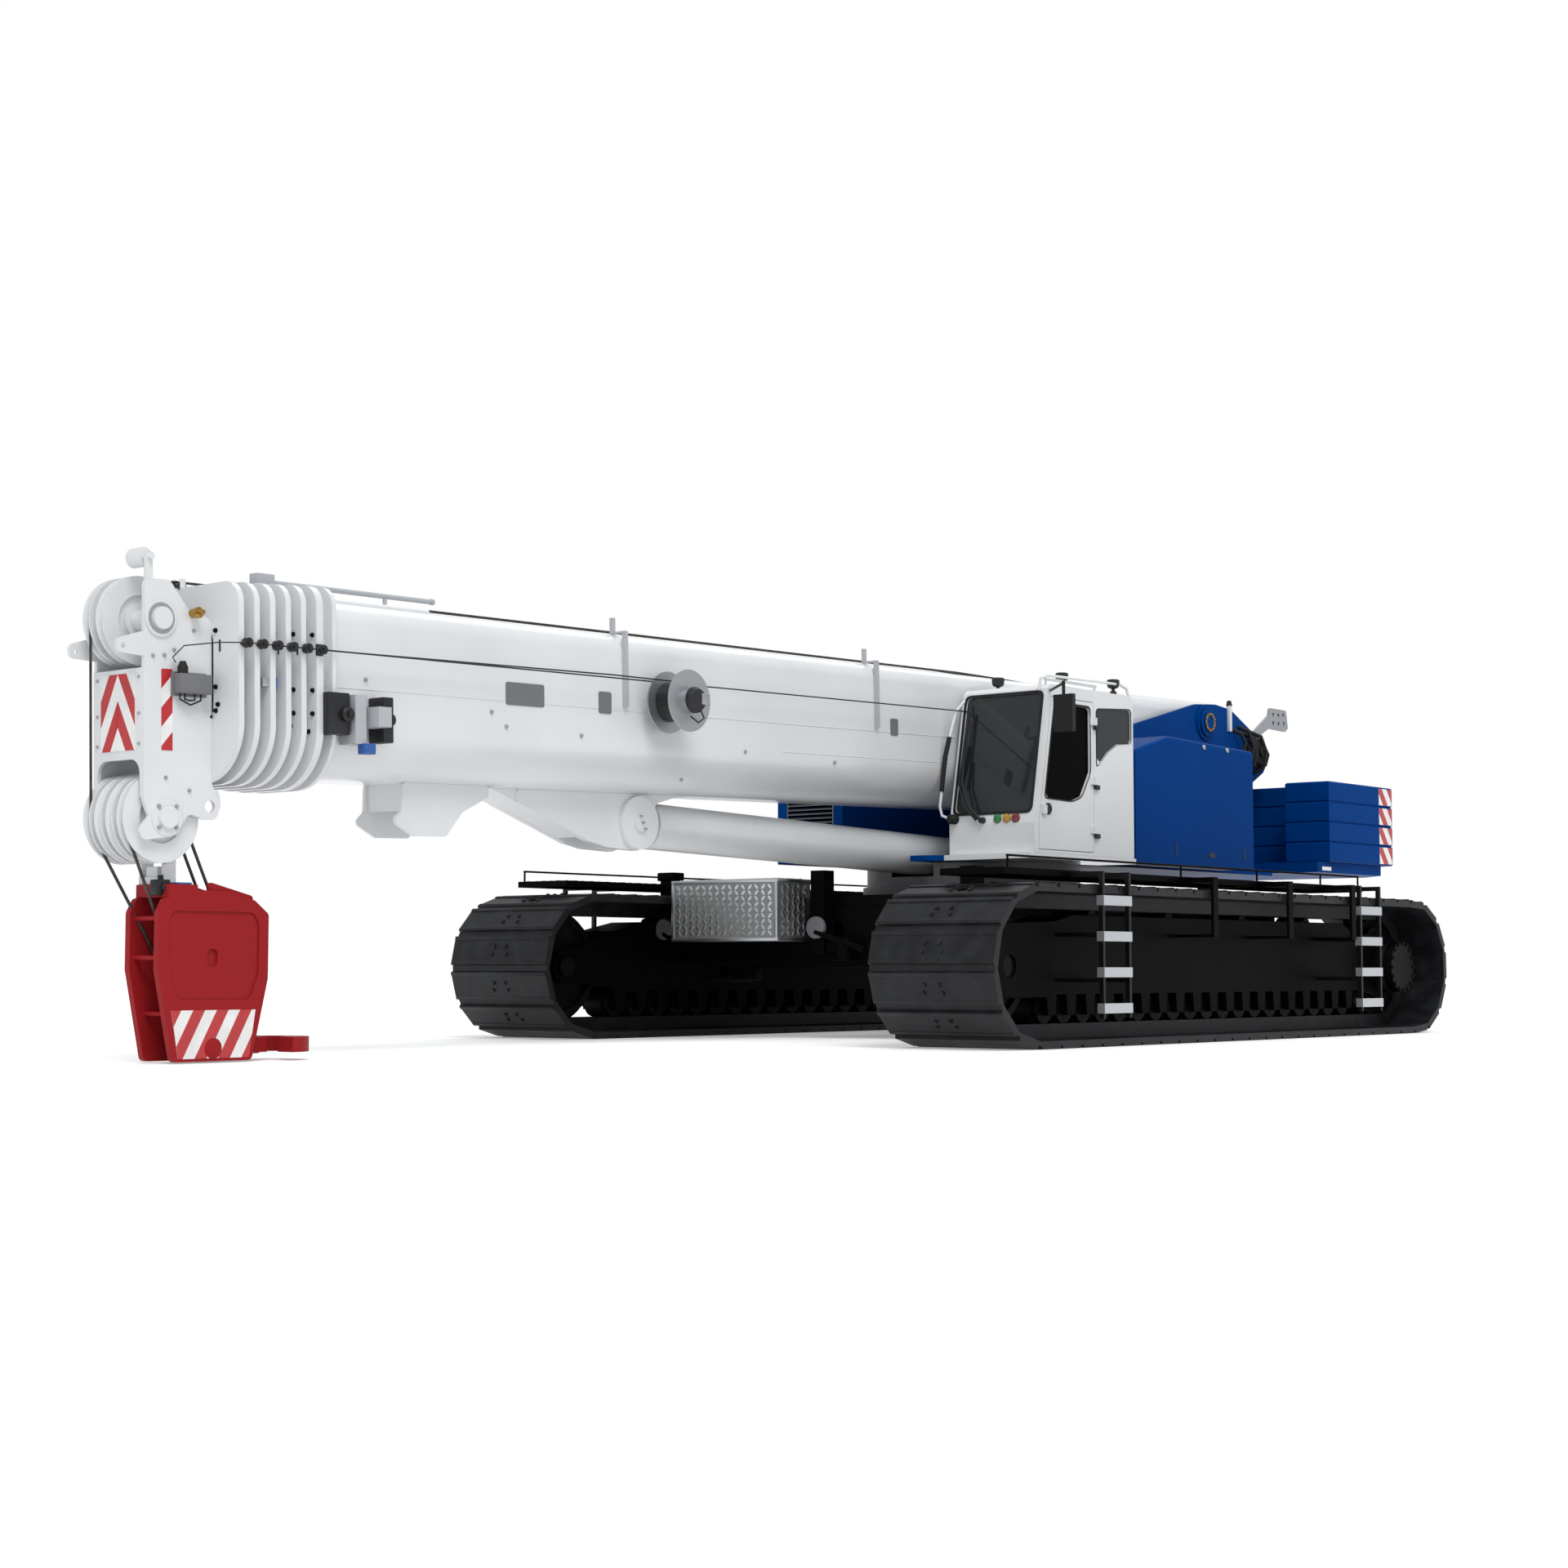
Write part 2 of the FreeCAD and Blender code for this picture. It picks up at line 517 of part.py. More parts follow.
# left house: a tapered closed cover behind the cab
house = side_plate([(HOUSE_FRONT, HOUSE_LOW), (HOUSE_FRONT, 2700), (-1170, HOUSE_TOP), (HOUSE_REAR, HOUSE_TOP - 40),
                    (HOUSE_REAR, HOUSE_LOW)], SIDE_Y + 80, HOUSE_Y)
house = house.cut(box(-1100, HOUSE_FRONT + 10, SIDE_Y, 1060, HOUSE_LOW - 1, DECK_Z + 1))
house = house.cut(box(HOUSE_REAR - 10, -900, SIDE_Y, 1060, HOUSE_LOW - 1, DECK_Z))
house = house.makeFillet(40, [e for e in house.Edges if abs(e.BoundBox.YMin - HOUSE_Y) < 1
                             and abs(e.BoundBox.YMax - HOUSE_Y) < 1 and e.BoundBox.ZMin > HOUSE_LOW + 500])
save("house_left", house)

# right engine hood: a shell open in front behind its grille, with the engine inside
hy0, hy1 = HOOD_Y
hood = side_plate([(HOOD_FRONT, HOUSE_LOW), (HOOD_FRONT, HOOD_TOP - 60), (HOOD_FRONT - 60, HOOD_TOP), (HOUSE_REAR, HOOD_TOP + 250),
                   (HOUSE_REAR, HOUSE_LOW)], hy0, hy1)
inner = side_plate([(HOOD_FRONT - HOOD_WALL, HOUSE_LOW + HOOD_WALL), (HOOD_FRONT - HOOD_WALL, HOOD_TOP - 90),
                    (HOOD_FRONT - 90, HOOD_TOP - HOOD_WALL - 10), (HOUSE_REAR + HOOD_WALL, HOOD_TOP + 215),
                    (HOUSE_REAR + HOOD_WALL, HOUSE_LOW + HOOD_WALL)], hy0 + HOOD_WALL, hy1 - HOOD_WALL)
hood = hood.cut(inner)
GRILLE_Y = (hy0 + 110, hy1 - 110)
GRILLE_Z = (1760.0, HOOD_TOP - 130)
hood = hood.cut(box(HOOD_FRONT - 60, HOOD_FRONT + 10, GRILLE_Y[0], GRILLE_Y[1], GRILLE_Z[0], GRILLE_Z[1]))
hood = hood.cut(box(-4100, 1360, -1055, 0, HOUSE_LOW - 1, DECK_Z).common(
    floor_plate([(1100, -640), (-900, -1050), (-4000, -1050), (-4000, 0), (1360, 0), (1360, -390)], HOUSE_LOW - 2, DECK_Z)))
save("hood_right", hood)
bars_ = [box(HOOD_FRONT - 20, HOOD_FRONT - 4, GRILLE_Y[0], GRILLE_Y[0] + 14, GRILLE_Z[0], GRILLE_Z[1]),
         box(HOOD_FRONT - 20, HOOD_FRONT - 4, GRILLE_Y[1] - 14, GRILLE_Y[1], GRILLE_Z[0], GRILLE_Z[1])]
z = GRILLE_Z[0]
while z < GRILLE_Z[1] - 20:
    bars_.append(side_plate([(HOOD_FRONT - 20, z + 14), (HOOD_FRONT - 4, z), (HOOD_FRONT - 4, z + 8), (HOOD_FRONT - 20, z + 22)],
                            GRILLE_Y[0], GRILLE_Y[1]))
    z += 42.0
save("grille_right", fuse(*bars_))
save("engine", box(-2100, -500, hy0 + 90, hy1 - 60, DECK_Z + FIT, 2350))

# deck under the cab
cab_deck = floor_plate([(CAB_FRONT + 60, CAB_Y[0] - 20), (CAB_FRONT + 60, CAB_Y[1]), (HOUSE_FRONT + FIT, CAB_Y[1]),
                        (HOUSE_FRONT + FIT, 1070), (-500, 1070), (1000, 700), (1000, CAB_Y[0] - 20)],
                       FLOOR_LOW + FIT, CAB_LOW - FIT)
save("cab_deck", cab_deck.cut(floor_plate([(1100, -640), (1350, -400), (1350, 400), (1100, 640), (-900, 1050)],
                                          FLOOR_LOW - 60, DECK_Z + 10)))

# counterweight: tray and a stack of slabs with chamfered rear corners and a notch at the house
tray_pts = [(FLOOR_REAR - FIT, -SLAB_HALF_Y + 60), (FLOOR_REAR - FIT, SLAB_HALF_Y - 60), (TAIL_X + SLAB_CORNER, SLAB_HALF_Y - 60),
            (TAIL_X + 60, SLAB_HALF_Y - SLAB_CORNER), (TAIL_X + 60, -SLAB_HALF_Y + SLAB_CORNER),
            (TAIL_X + SLAB_CORNER, -SLAB_HALF_Y + 60)]
tray = floor_plate(tray_pts, TRAY_LOW, SLAB_LOW - FIT)
save("counterweight_tray", tray)
slab_pts = [(SLAB_FRONT, -SLAB_HALF_Y), (SLAB_FRONT, -1130), (SLAB_FRONT - 560, -1130), (SLAB_FRONT - 560, 1130),
            (SLAB_FRONT, 1130), (SLAB_FRONT, SLAB_HALF_Y), (TAIL_X + SLAB_CORNER * 0.6, SLAB_HALF_Y),
            (TAIL_X, SLAB_HALF_Y - SLAB_CORNER), (TAIL_X, -SLAB_HALF_Y + SLAB_CORNER),
            (TAIL_X + SLAB_CORNER * 0.6, -SLAB_HALF_Y)]
slabs = []
for i in range(SLABS):
    z0 = SLAB_LOW + i * SLAB_HIGH
    slab = floor_plate(slab_pts, z0, z0 + SLAB_HIGH - FIT)
    slabs.append(slab.makeChamfer(SLAB_EDGE, [e for e in slab.Edges if e.BoundBox.ZLength < 1]))
save("counterweight_slabs", *slabs)

# winch between the rear arms of the boom-foot plates
WINCH_X, WINCH_Z, WINCH_R = -4420.0, 2980.0, 230.0
drum = fuse(rod_y(WINCH_X, WINCH_Z, -430, 430, WINCH_R), rod_y(WINCH_X, WINCH_Z, -460, -430, WINCH_R + 95),
            rod_y(WINCH_X, WINCH_Z, 430, 460, WINCH_R + 95),
            rod_y(WINCH_X, WINCH_Z, -SIDE_Y + SIDE_THICK + FIT, SIDE_Y - SIDE_THICK - FIT, 110))
save("winch_drum", drum)
BRACKET_Y = SIDE_Y - SIDE_THICK - FIT
bracket = soft_plate([(-4520, 3115), (-4450, 3175), (-4860, 3420), (-4880, 3500), (-5260, 3500), (-5300, 3300),
                      (-5230, 3260), (-4860, 3270)], 30, BRACKET_Y - 24, BRACKET_Y)
for x, z in ((-4960, 3430), (-5080, 3430), (-5190, 3440), (-4960, 3335), (-5080, 3335), (-5200, 3345)):
    bracket = bracket.cut(rod_y(x, z, BRACKET_Y - 30, BRACKET_Y + 5, 24))
save("rear_bracket", bracket, mirror(bracket))

# cab: hollow shell with its windows cut, roof, floor; door on its own hinge at its rear edge
cab_side = [(CAB_FRONT, CAB_LOW), (CAB_FRONT, 1930), (CAB_FRONT - CAB_LEAN, CAB_TOP - 40), (CAB_FRONT - CAB_LEAN - 60, CAB_TOP),
            (CAB_REAR + 60, CAB_TOP), (CAB_REAR, CAB_TOP - 60), (CAB_REAR, CAB_LOW)]
w = CAB_WALL
cab_in = [(CAB_FRONT - w, CAB_LOW + w), (CAB_FRONT - w, 1930), (CAB_FRONT - CAB_LEAN - w, CAB_TOP - w - 20),
          (CAB_REAR + w, CAB_TOP - w - 20), (CAB_REAR + w, CAB_LOW + w)]
shell = side_plate(cab_side, CAB_Y[0], CAB_Y[1]).cut(side_plate(cab_in, CAB_Y[0] + w, CAB_Y[1] - w))


def lean_x(z):
    """Front face of the cab at height z."""
    return CAB_FRONT if z < 1930 else CAB_FRONT - CAB_LEAN * (z - 1930) / (CAB_TOP - 40 - 1930)


door_pts = [(DOOR_REAR, CAB_LOW + 30), (DOOR_REAR, 3080), (lean_x(3080) - 70, 3080), (lean_x(1930) - 70, 1930),
            (CAB_FRONT - 70, CAB_LOW + 30)]
SCREEN_Y, SCREEN_Z = (CAB_Y[0] + 50, CAB_Y[1] - 60), (2040.0, 3110.0)
WINDOW_R = 55.0


def front_outline(x, y, z, gap):
    """Corners of the windscreen on the plane at x, each side moved in by gap."""
    return [V(x, y[0] + gap, z[0] + gap), V(x, y[1] - gap, z[0] + gap), V(x, y[1] - gap, z[1] - gap),
            V(x, y[0] + gap, z[1] - gap)]


screen = rounded(front_outline(CAB_FRONT - 500, SCREEN_Y, SCREEN_Z, 0), WINDOW_R).extrude(V(600, 0, 0))
side_win = [(CAB_REAR + 70, 2350), (CAB_REAR + 70, 3060), (lean_x(3060) - 70, 3060), (lean_x(2350) - 70, 2350)]
rear_win_l = [(CAB_REAR + 45, 2740), (CAB_REAR + 45, 3060), (DOOR_REAR - 50, 3020), (DOOR_REAR - 50, 2480),
              (-60, 2640), (-220, 2720)]
shell = shell.cut(screen.cut(box(-900, 600, 0, 2000, 1900, 3300)))
shell = shell.cut(soft_plate(side_win, WINDOW_R, CAB_Y[0] - 10, CAB_Y[0] + w + 10))
shell = shell.cut(soft_plate(rear_win_l, WINDOW_R, CAB_Y[1] - w - 10, CAB_Y[1] + 10))
shell = shell.cut(side_plate(door_pts, CAB_Y[1] - w - 10, CAB_Y[1] + 10))
shell = shell.cut(box(CAB_REAR - 10, CAB_REAR + w + 10, CAB_Y[0] + 80, CAB_Y[1] - 80, 2450, 3060))
save("cab_shell", shell)

DOOR_GAP = 6.0


def inset(points, d):
    """A convex outline (x, z), moved inwards by d."""
    n = len(points)
    area = sum(points[i][0] * points[(i + 1) % n][1] - points[(i + 1) % n][0] * points[i][1] for i in range(n))
    s = 1 if area > 0 else -1
    lines = []
    for i in range(n):
        (xa, za), (xb, zb) = points[i], points[(i + 1) % n]
        length = sqrt((xb - xa) ** 2 + (zb - za) ** 2)
        nx, nz = -(zb - za) / length * s, (xb - xa) / length * s
        lines.append((xa + nx * d, za + nz * d, xb - xa, zb - za))
    out = []
    for i in range(n):
        x1, z1, dx1, dz1 = lines[i - 1]
        x2, z2, dx2, dz2 = lines[i]
        t = ((x2 - x1) * dz2 - (z2 - z1) * dx2) / (dx1 * dz2 - dz1 * dx2)
        out.append((x1 + dx1 * t, z1 + dz1 * t))
    return out


door_win = [(250, 2430), (250, 3020), (lean_x(3020) - 130, 3020), (lean_x(2160) - 130, 2160), (560, 2150), (400, 2200)]
door = side_plate(inset(door_pts, DOOR_GAP), CAB_Y[1] - w, CAB_Y[1])
door = door.cut(soft_plate(door_win, WINDOW_R, CAB_Y[1] - w - 5, CAB_Y[1] + 5))
HINGE_Y = CAB_Y[1] + 22
hinge_x = DOOR_REAR - 4
for z in (1900.0, 2350.0, 2900.0):
    leaf = box(DOOR_REAR + DOOR_GAP + 1, DOOR_REAR + 60, CAB_Y[1] - 1, CAB_Y[1] + 10, z - 35, z + 35)
    knuckle = box(hinge_x, DOOR_REAR + 24, CAB_Y[1] + 6, HINGE_Y, z - 35, z + 35)
    door = door.fuse([leaf, knuckle, rod_z(hinge_x, HINGE_Y, z - 35, z + 35, 16)])
door = fuse(door, box(1010, 1070, CAB_Y[1] - 1, CAB_Y[1] + 28, 2010, 2090))
save("cab_door", door.removeSplitter())
posts = [fuse(rod_z(hinge_x, HINGE_Y, z - 75, z - 35 - FIT, 16),
              box(hinge_x - 70, hinge_x, CAB_Y[1] + FIT, HINGE_Y, z - 75, z - 35 - FIT)) for z in (1900.0, 2350.0, 2900.0)]
save("door_hinges", *posts)
g = GLASS_THICK
save("door_glass", soft_plate(inset(door_win, FIT), WINDOW_R - FIT, CAB_Y[1] - w / 2 - g, CAB_Y[1] - w / 2))
pane = rounded(front_outline(CAB_FRONT - 500, SCREEN_Y, SCREEN_Z, FIT), WINDOW_R - FIT).extrude(V(600, 0, 0))
screen_glass = pane.common(side_plate([(lean_x(SCREEN_Z[0]) - 12, SCREEN_Z[0]), (lean_x(SCREEN_Z[1]) - 12, SCREEN_Z[1]),
                                       (lean_x(SCREEN_Z[1]) - 12 - g, SCREEN_Z[1]),
                                       (lean_x(SCREEN_Z[0]) - 12 - g, SCREEN_Z[0])], CAB_Y[0], CAB_Y[1]))
save("cab_glass", screen_glass,
     soft_plate(inset(side_win, FIT), WINDOW_R - FIT, CAB_Y[0] + 10, CAB_Y[0] + 10 + g),
     soft_plate(inset(rear_win_l, FIT), WINDOW_R - FIT, CAB_Y[1] - 10 - g, CAB_Y[1] - 10),
     box(CAB_REAR + 10, CAB_REAR + 10 + g, CAB_Y[0] + 80 + FIT, CAB_Y[1] - 80 - FIT, 2450 + FIT, 3060 - FIT))
cab_mid = (CAB_Y[0] + CAB_Y[1]) / 2
floor_z = CAB_LOW + w + FIT
seat_parts = [box(-120, 420, cab_mid - 250, cab_mid + 250, floor_z + 330, floor_z + 450),
              side_plate([(-190, floor_z + 400), (-60, floor_z + 400), (-150, floor_z + 1150), (-260, floor_z + 1150)],
                         cab_mid - 230, cab_mid + 230),
              box(-20, 320, cab_mid - 180, cab_mid + 180, floor_z, floor_z + 340)]
for s in (-1, 1):
    seat_parts.append(box(-100, 420, cab_mid + s * 330 - 55, cab_mid + s * 330 + 55, floor_z + 520, floor_z + 600))
    seat_parts.append(box(0, 300, cab_mid + s * 270 - 60, cab_mid + s * 270 + 60, floor_z + 430, floor_z + 530))
save("operator_seat", fuse(*seat_parts))
save("cab_console", box(760, 1000, CAB_Y[0] + w + FIT, CAB_Y[0] + w + 240, floor_z, floor_z + 720))
roof_rail = []
for a, b, thick in (((-20, 1380, 3250), (840, 1380, 3250), 14), ((0, 1380, CAB_TOP + FIT), (0, 1380, 3250), 12),
                    ((820, 1380, CAB_TOP + FIT), (820, 1380, 3250), 12)):
    roof_rail.append(bar(a, b, thick))
MIRROR_X, MIRROR_Y = 1330.0, 1900.0
mirror_arm = [bar((880, 1462, CAB_TOP - 60), (MIRROR_X, MIRROR_Y, CAB_TOP - 60), 12),
              rod_z(MIRROR_X, MIRROR_Y, 2760, CAB_TOP - 40, 15),
              box(MIRROR_X - 35, MIRROR_X + 15, MIRROR_Y - 100, MIRROR_Y + 100, 2700, 3030)]
save("cab_rails", fuse(*roof_rail), fuse(*mirror_arm).cut(shell))


# boom sections
def section(top, high, wide, r_top, r_low, u0, u1):
    """Closed outline in the boom's own frame: flat top, round corners, round low side."""
    h, b = wide / 2, top - high
    k = 1 - 1 / sqrt(2)
    p = [V(u0, -h + r_top, top), V(u0, h - r_top, top), V(u0, h, top - r_top), V(u0, h, b + r_low),
         V(u0, h - r_low, b), V(u0, -h + r_low, b), V(u0, -h, b + r_low), V(u0, -h, top - r_top)]
    m = [V(u0, h - r_top * k, top - r_top * k), V(u0, h - r_low * k, b + r_low * k),
         V(u0, -h + r_low * k, b + r_low * k), V(u0, -h + r_top * k, top - r_top * k)]
    edges = [Part.LineSegment(p[0], p[1]).toShape(), Part.Arc(p[1], m[0], p[2]).toShape(),
             Part.LineSegment(p[2], p[3]).toShape(), Part.Arc(p[3], m[1], p[4]).toShape(),
             Part.LineSegment(p[4], p[5]).toShape(), Part.Arc(p[5], m[2], p[6]).toShape(),
             Part.LineSegment(p[6], p[7]).toShape(), Part.Arc(p[7], m[3], p[0]).toShape()]
    return Part.Face(Part.Wire(edges)).extrude(V(u1 - u0, 0, 0))


def tube(i, u0, u1, out=0.0, wall=BOOM_WALL):
    """Section number i as a tube; out makes it larger all round, as a collar is."""
    d = i * SECTION_STEP - out
    outer = section(BOOM_TOP_V - d, BOOM_HIGH - 2 * d, BOOM_WIDE - 2 * d, TOP_CORNER, LOW_CORNER - d / 2, u0, u1)
    d = i * SECTION_STEP + wall
    inner = section(BOOM_TOP_V - d, BOOM_HIGH - 2 * d, BOOM_WIDE - 2 * d, TOP_CORNER - wall / 2,
                    LOW_CORNER - d / 2, u0 - 1, u1 + 1)
    return outer.cut(inner)


def front_pad(i, u1):
    """Low slider pad at the front of section i, just under the next section."""
    half = BOOM_WIDE / 2 - LOW_CORNER - (i + 1) * SECTION_STEP / 2 - 4
    low = BOOM_TOP_V - BOOM_HIGH + i * SECTION_STEP
    wall = BOOM_WALL if i == 0 else TELE_WALL
    return box(u1 - 320, u1 - 20, -half, half, low + wall - 1, low + SECTION_STEP - FIT)


def rear_pad(i, u0):
    """Top slider pad at the rear of section i, just under the roof of the one round it."""
    half = BOOM_WIDE / 2 - i * SECTION_STEP - TOP_CORNER - 10
    top = BOOM_TOP_V - i * SECTION_STEP
    wall = BOOM_WALL if i == 1 else TELE_WALL
    return box(u0 + 20, u0 + 270, -half, half, top - 1, top + SECTION_STEP - wall - FIT)


base = tube(0, BOOM_ROOT_U, BOOM_END_U).fuse(front_pad(0, BOOM_END_U))
base = base.fuse([tube(0, BOOM_END_U - 60, BOOM_END_U, out=COLLAR_OUT), tube(0, BOOM_END_U - 175, BOOM_END_U - 140, out=COLLAR_OUT)])
foot = [rod_y(0, 0, y0, y1, 185) for y0, y1 in ((-SIDE_Y + SIDE_THICK + 6, -BOOM_WIDE / 2 + 5),
                                                (BOOM_WIDE / 2 - 5, SIDE_Y - SIDE_THICK - 6))]
base = base.fuse(foot)
base = base.cut(rod_y(0, 0, -SIDE_Y, SIDE_Y, FOOT_PIN_R + FIT))
save("boom_base", boom_place(base))

gusset_pts = [(LUFF_U + 1638, -980), (LUFF_U + 558, LUFF_V - 157), (LUFF_U + 338, LUFF_V - 204), (LUFF_U, LUFF_V - 224),
              (LUFF_U - 172, LUFF_V - 154), (LUFF_U - 232, LUFF_V), (LUFF_U - 212, LUFF_V + 156),
              (LUFF_U - 462, -1000), (LUFF_U - 752, -970)]
plates = []
for s in (1, -1):
    y0, y1 = sorted((s * (EYE_WIDE / 2 + 8), s * (EYE_WIDE / 2 + 68)))
    plates.append(soft_plate(gusset_pts, 60, y0, y1))
gusset = plates[0].fuse(plates[1:])
gusset = gusset.fuse(side_plate([(LUFF_U + 1638, -980), (LUFF_U + 638, LUFF_V - 124), (LUFF_U + 598, LUFF_V - 84),
                                 (LUFF_U + 1338, -980)], -EYE_WIDE / 2 - 60, EYE_WIDE / 2 + 60))
gusset = gusset.fuse([rod_y(LUFF_U, LUFF_V, -EYE_WIDE / 2 - 110, -EYE_WIDE / 2 - 8, 215),
                      rod_y(LUFF_U, LUFF_V, EYE_WIDE / 2 + 8, EYE_WIDE / 2 + 110, 215)])
gusset = gusset.cut(section(BOOM_TOP_V, BOOM_HIGH, BOOM_WIDE, TOP_CORNER, LOW_CORNER, 0, BOOM_END_U - 200))
gusset = gusset.fuse(rod_y(LUFF_U, LUFF_V, -EYE_WIDE / 2 - 130, EYE_WIDE / 2 + 130, LUFF_PIN_R)).removeSplitter()
save("luff_gusset", boom_place(gusset))

rest_pts = [(11020, -1261), (10820, -1366), (10500, -1364), (10330, -1180), (10060, -1060), (10060, -975), (10920, -975), (10930, -1180)]
rest = fuse(soft_plate(rest_pts, 35, 190, 215), soft_plate(rest_pts, 35, -215, -190),
            side_plate([(10900, -1180), (10860, -1180), (10860, -960), (10900, -960)], -190, 190))
rest = rest.cut(section(BOOM_TOP_V, BOOM_HIGH, BOOM_WIDE, TOP_CORNER, LOW_CORNER, 0, BOOM_END_U - 200))
save("rest_bracket", boom_place(rest))

REEL_U, REEL_V, REEL_R = 8470.0, -280.0, 245.0
reel_y = BOOM_WIDE / 2
reel = fuse(rod_y(REEL_U, REEL_V, reel_y + FIT, reel_y + 390, 100), rod_y(REEL_U, REEL_V, reel_y + 110, reel_y + 122, REEL_R),
            rod_y(REEL_U, REEL_V, reel_y + 330, reel_y + 342, REEL_R), rod_y(REEL_U, REEL_V, reel_y + 120, reel_y + 332, 150))
save("cable_reel", boom_place(reel))
poles = []
for u in (8860.0, 5600.0):
    poles.append(boom_place(fuse(box(u - 20, u + 20, reel_y - 130, reel_y + 30, BOOM_TOP_V + FIT, BOOM_TOP_V + 16), box(u - 18, u + 18, reel_y + FIT, reel_y + 36, -330, BOOM_TOP_V + 16),
                                 box(u - 18, u + 18, reel_y - 130, reel_y - 100, BOOM_TOP_V + FIT, 380))))
save("rope_guides", *poles)
SENSOR_U = 11560.0
sensor = fuse(box(SENSOR_U, SENSOR_U + 200, reel_y + FIT, reel_y + 61, -760, -420),
              box(SENSOR_U - 60, SENSOR_U + 60, reel_y + 60, reel_y + 250, -640, -500),
              box(SENSOR_U + 100, SENSOR_U + 200, reel_y + 60, reel_y + 170, -760, -420))
save("sensor_unit", boom_place(sensor))

# telescopic sections, each with its collar just ahead of the one before
collar_u = BOOM_END_U
for i in range(1, SECTIONS + 1):
    u1 = BOOM_END_U + i * COLLAR_PITCH
    u0 = u1 - TELE_BACK
    body = tube(i, u0, u1, wall=TELE_WALL).fuse(rear_pad(i, u0))
    if i < SECTIONS:
        body = body.fuse(front_pad(i, u1))
    collar = tube(i, u1 - COLLAR_THICK, u1, out=i * SECTION_STEP + COLLAR_OUT - i * 6.0, wall=TELE_WALL)
    save("tele_%d" % i, boom_place(body.fuse(collar).removeSplitter()))

# boom head on the last section: two side plates joined by a rear plate and an arched front plate
HEAD_U = BOOM_END_U + SECTIONS * COLLAR_PITCH
HEAD_BACK = HEAD_U + FIT
COLLAR_LOW_V = -1060.0      # the last collar reaches down to just above this
head_pts = [(HEAD_BACK, 60), (UPPER_U - 230, 110), (UPPER_U - 80, UPPER_V + 260), (HEAD_FRONT_U - 10, UPPER_V + 260),
            (HEAD_FRONT_U, LOWER_V + 110), (LOWER_U + 90, LOWER_V - 120), (LOWER_U - 90, LOWER_V - 120),
            (LOWER_U - 180, LOWER_V + 30), (JIB_U + 50, JIB_V - 90), (JIB_U - 50, JIB_V - 90),
            (JIB_U - 90, JIB_V + 10), (JIB_U - 80, JIB_V + 95), (HEAD_BACK, COLLAR_LOW_V - 15)]
side = soft_plate(head_pts, 55, HEAD_HALF_Y - HEAD_PLATE, HEAD_HALF_Y)
head_parts = [side, mirror(side)]
head_parts.append(box(HEAD_BACK, HEAD_BACK + 60, -HEAD_HALF_Y, HEAD_HALF_Y, -900, 40))
# front plate: its top and low edge, and the arch over the lower sheaves
FRONT_V = (-1150.0, -300.0)
ARCH_TOP_V = -900.0
ARCH_Y = HEAD_HALF_Y - 42
front = box(HEAD_FRONT_U - HEAD_PLATE, HEAD_FRONT_U, -HEAD_HALF_Y, HEAD_HALF_Y, FRONT_V[0], FRONT_V[1])
arch = [V(HEAD_FRONT_U - 100, y, v) for y, v in ((-ARCH_Y, FRONT_V[0] - 200), (ARCH_Y, FRONT_V[0] - 200),
                                                 (ARCH_Y, ARCH_TOP_V), (-ARCH_Y, ARCH_TOP_V))]
head_parts.append(front.cut(rounded(arch, 95).extrude(V(200, 0, 0))))
head_parts.append(box(HEAD_BACK + 40, HEAD_FRONT_U - 10, -HEAD_HALF_Y + 10, HEAD_HALF_Y - 10, -420, -395))
for u, v in ((UPPER_U, UPPER_V), (LOWER_U, LOWER_V)):
    head_parts.append(rod_y(u, v, HEAD_HALF_Y - 1, HEAD_HALF_Y + 14, SHAFT_R + 50))
    head_parts.append(rod_y(u, v, -HEAD_HALF_Y - 14, -HEAD_HALF_Y + 1, SHAFT_R + 50))
    head_parts.append(rod_y(u, v, -HEAD_HALF_Y - 40, HEAD_HALF_Y + 40, SHAFT_R))
# flange plate under the lower shaft's end, and the guide eye at the head's front
FLANGE_V = LOWER_V - 85
for y in (HEAD_HALF_Y - 1, -HEAD_HALF_Y - 9):
    head_parts.append(soft_plate([(LOWER_U - 110, LOWER_V + 60), (LOWER_U + 60, LOWER_V + 110),
                                  (LOWER_U + 230, FLANGE_V), (LOWER_U + 190, FLANGE_V - 70),
                                  (LOWER_U - 60, FLANGE_V - 40)], 45, y, y + 10))
EYE_U, EYE_V = HEAD_FRONT_U + 155, -170.0
for y in (-HEAD_HALF_Y, HEAD_HALF_Y - HEAD_PLATE):
    lug = soft_plate([(HEAD_FRONT_U - 40, EYE_V - 60), (EYE_U + 50, EYE_V - 45), (EYE_U + 50, EYE_V + 45),
                      (HEAD_FRONT_U - 40, EYE_V + 120)], 40, y, y + HEAD_PLATE)
    head_parts.append(lug.cut(rod_y(EYE_U, EYE_V, y - 1, y + HEAD_PLATE + 1, 17)))
# post with a guide roller's fork on top of the near plate
POST_U, POST_TOP_V = HEAD_FRONT_U - 55, UPPER_V + 425
head_parts.append(box(POST_U - 28, POST_U + 28, HEAD_HALF_Y - HEAD_PLATE, HEAD_HALF_Y - 8, UPPER_V + 150, POST_TOP_V))
head_parts.append(rod_y(POST_U, POST_TOP_V - 20, HEAD_HALF_Y - 190, HEAD_HALF_Y + 22, 22))
head_parts.append(rod_y(POST_U, POST_TOP_V - 20, HEAD_HALF_Y - 175, HEAD_HALF_Y - 60, 66))
head = head_parts[0].fuse(head_parts[1:]).removeSplitter()
head = head.cut(rod_y(JIB_U, JIB_V, -HEAD_HALF_Y - 1, HEAD_HALF_Y + 1, JIB_BORE_R))
save("boom_head", boom_place(head))


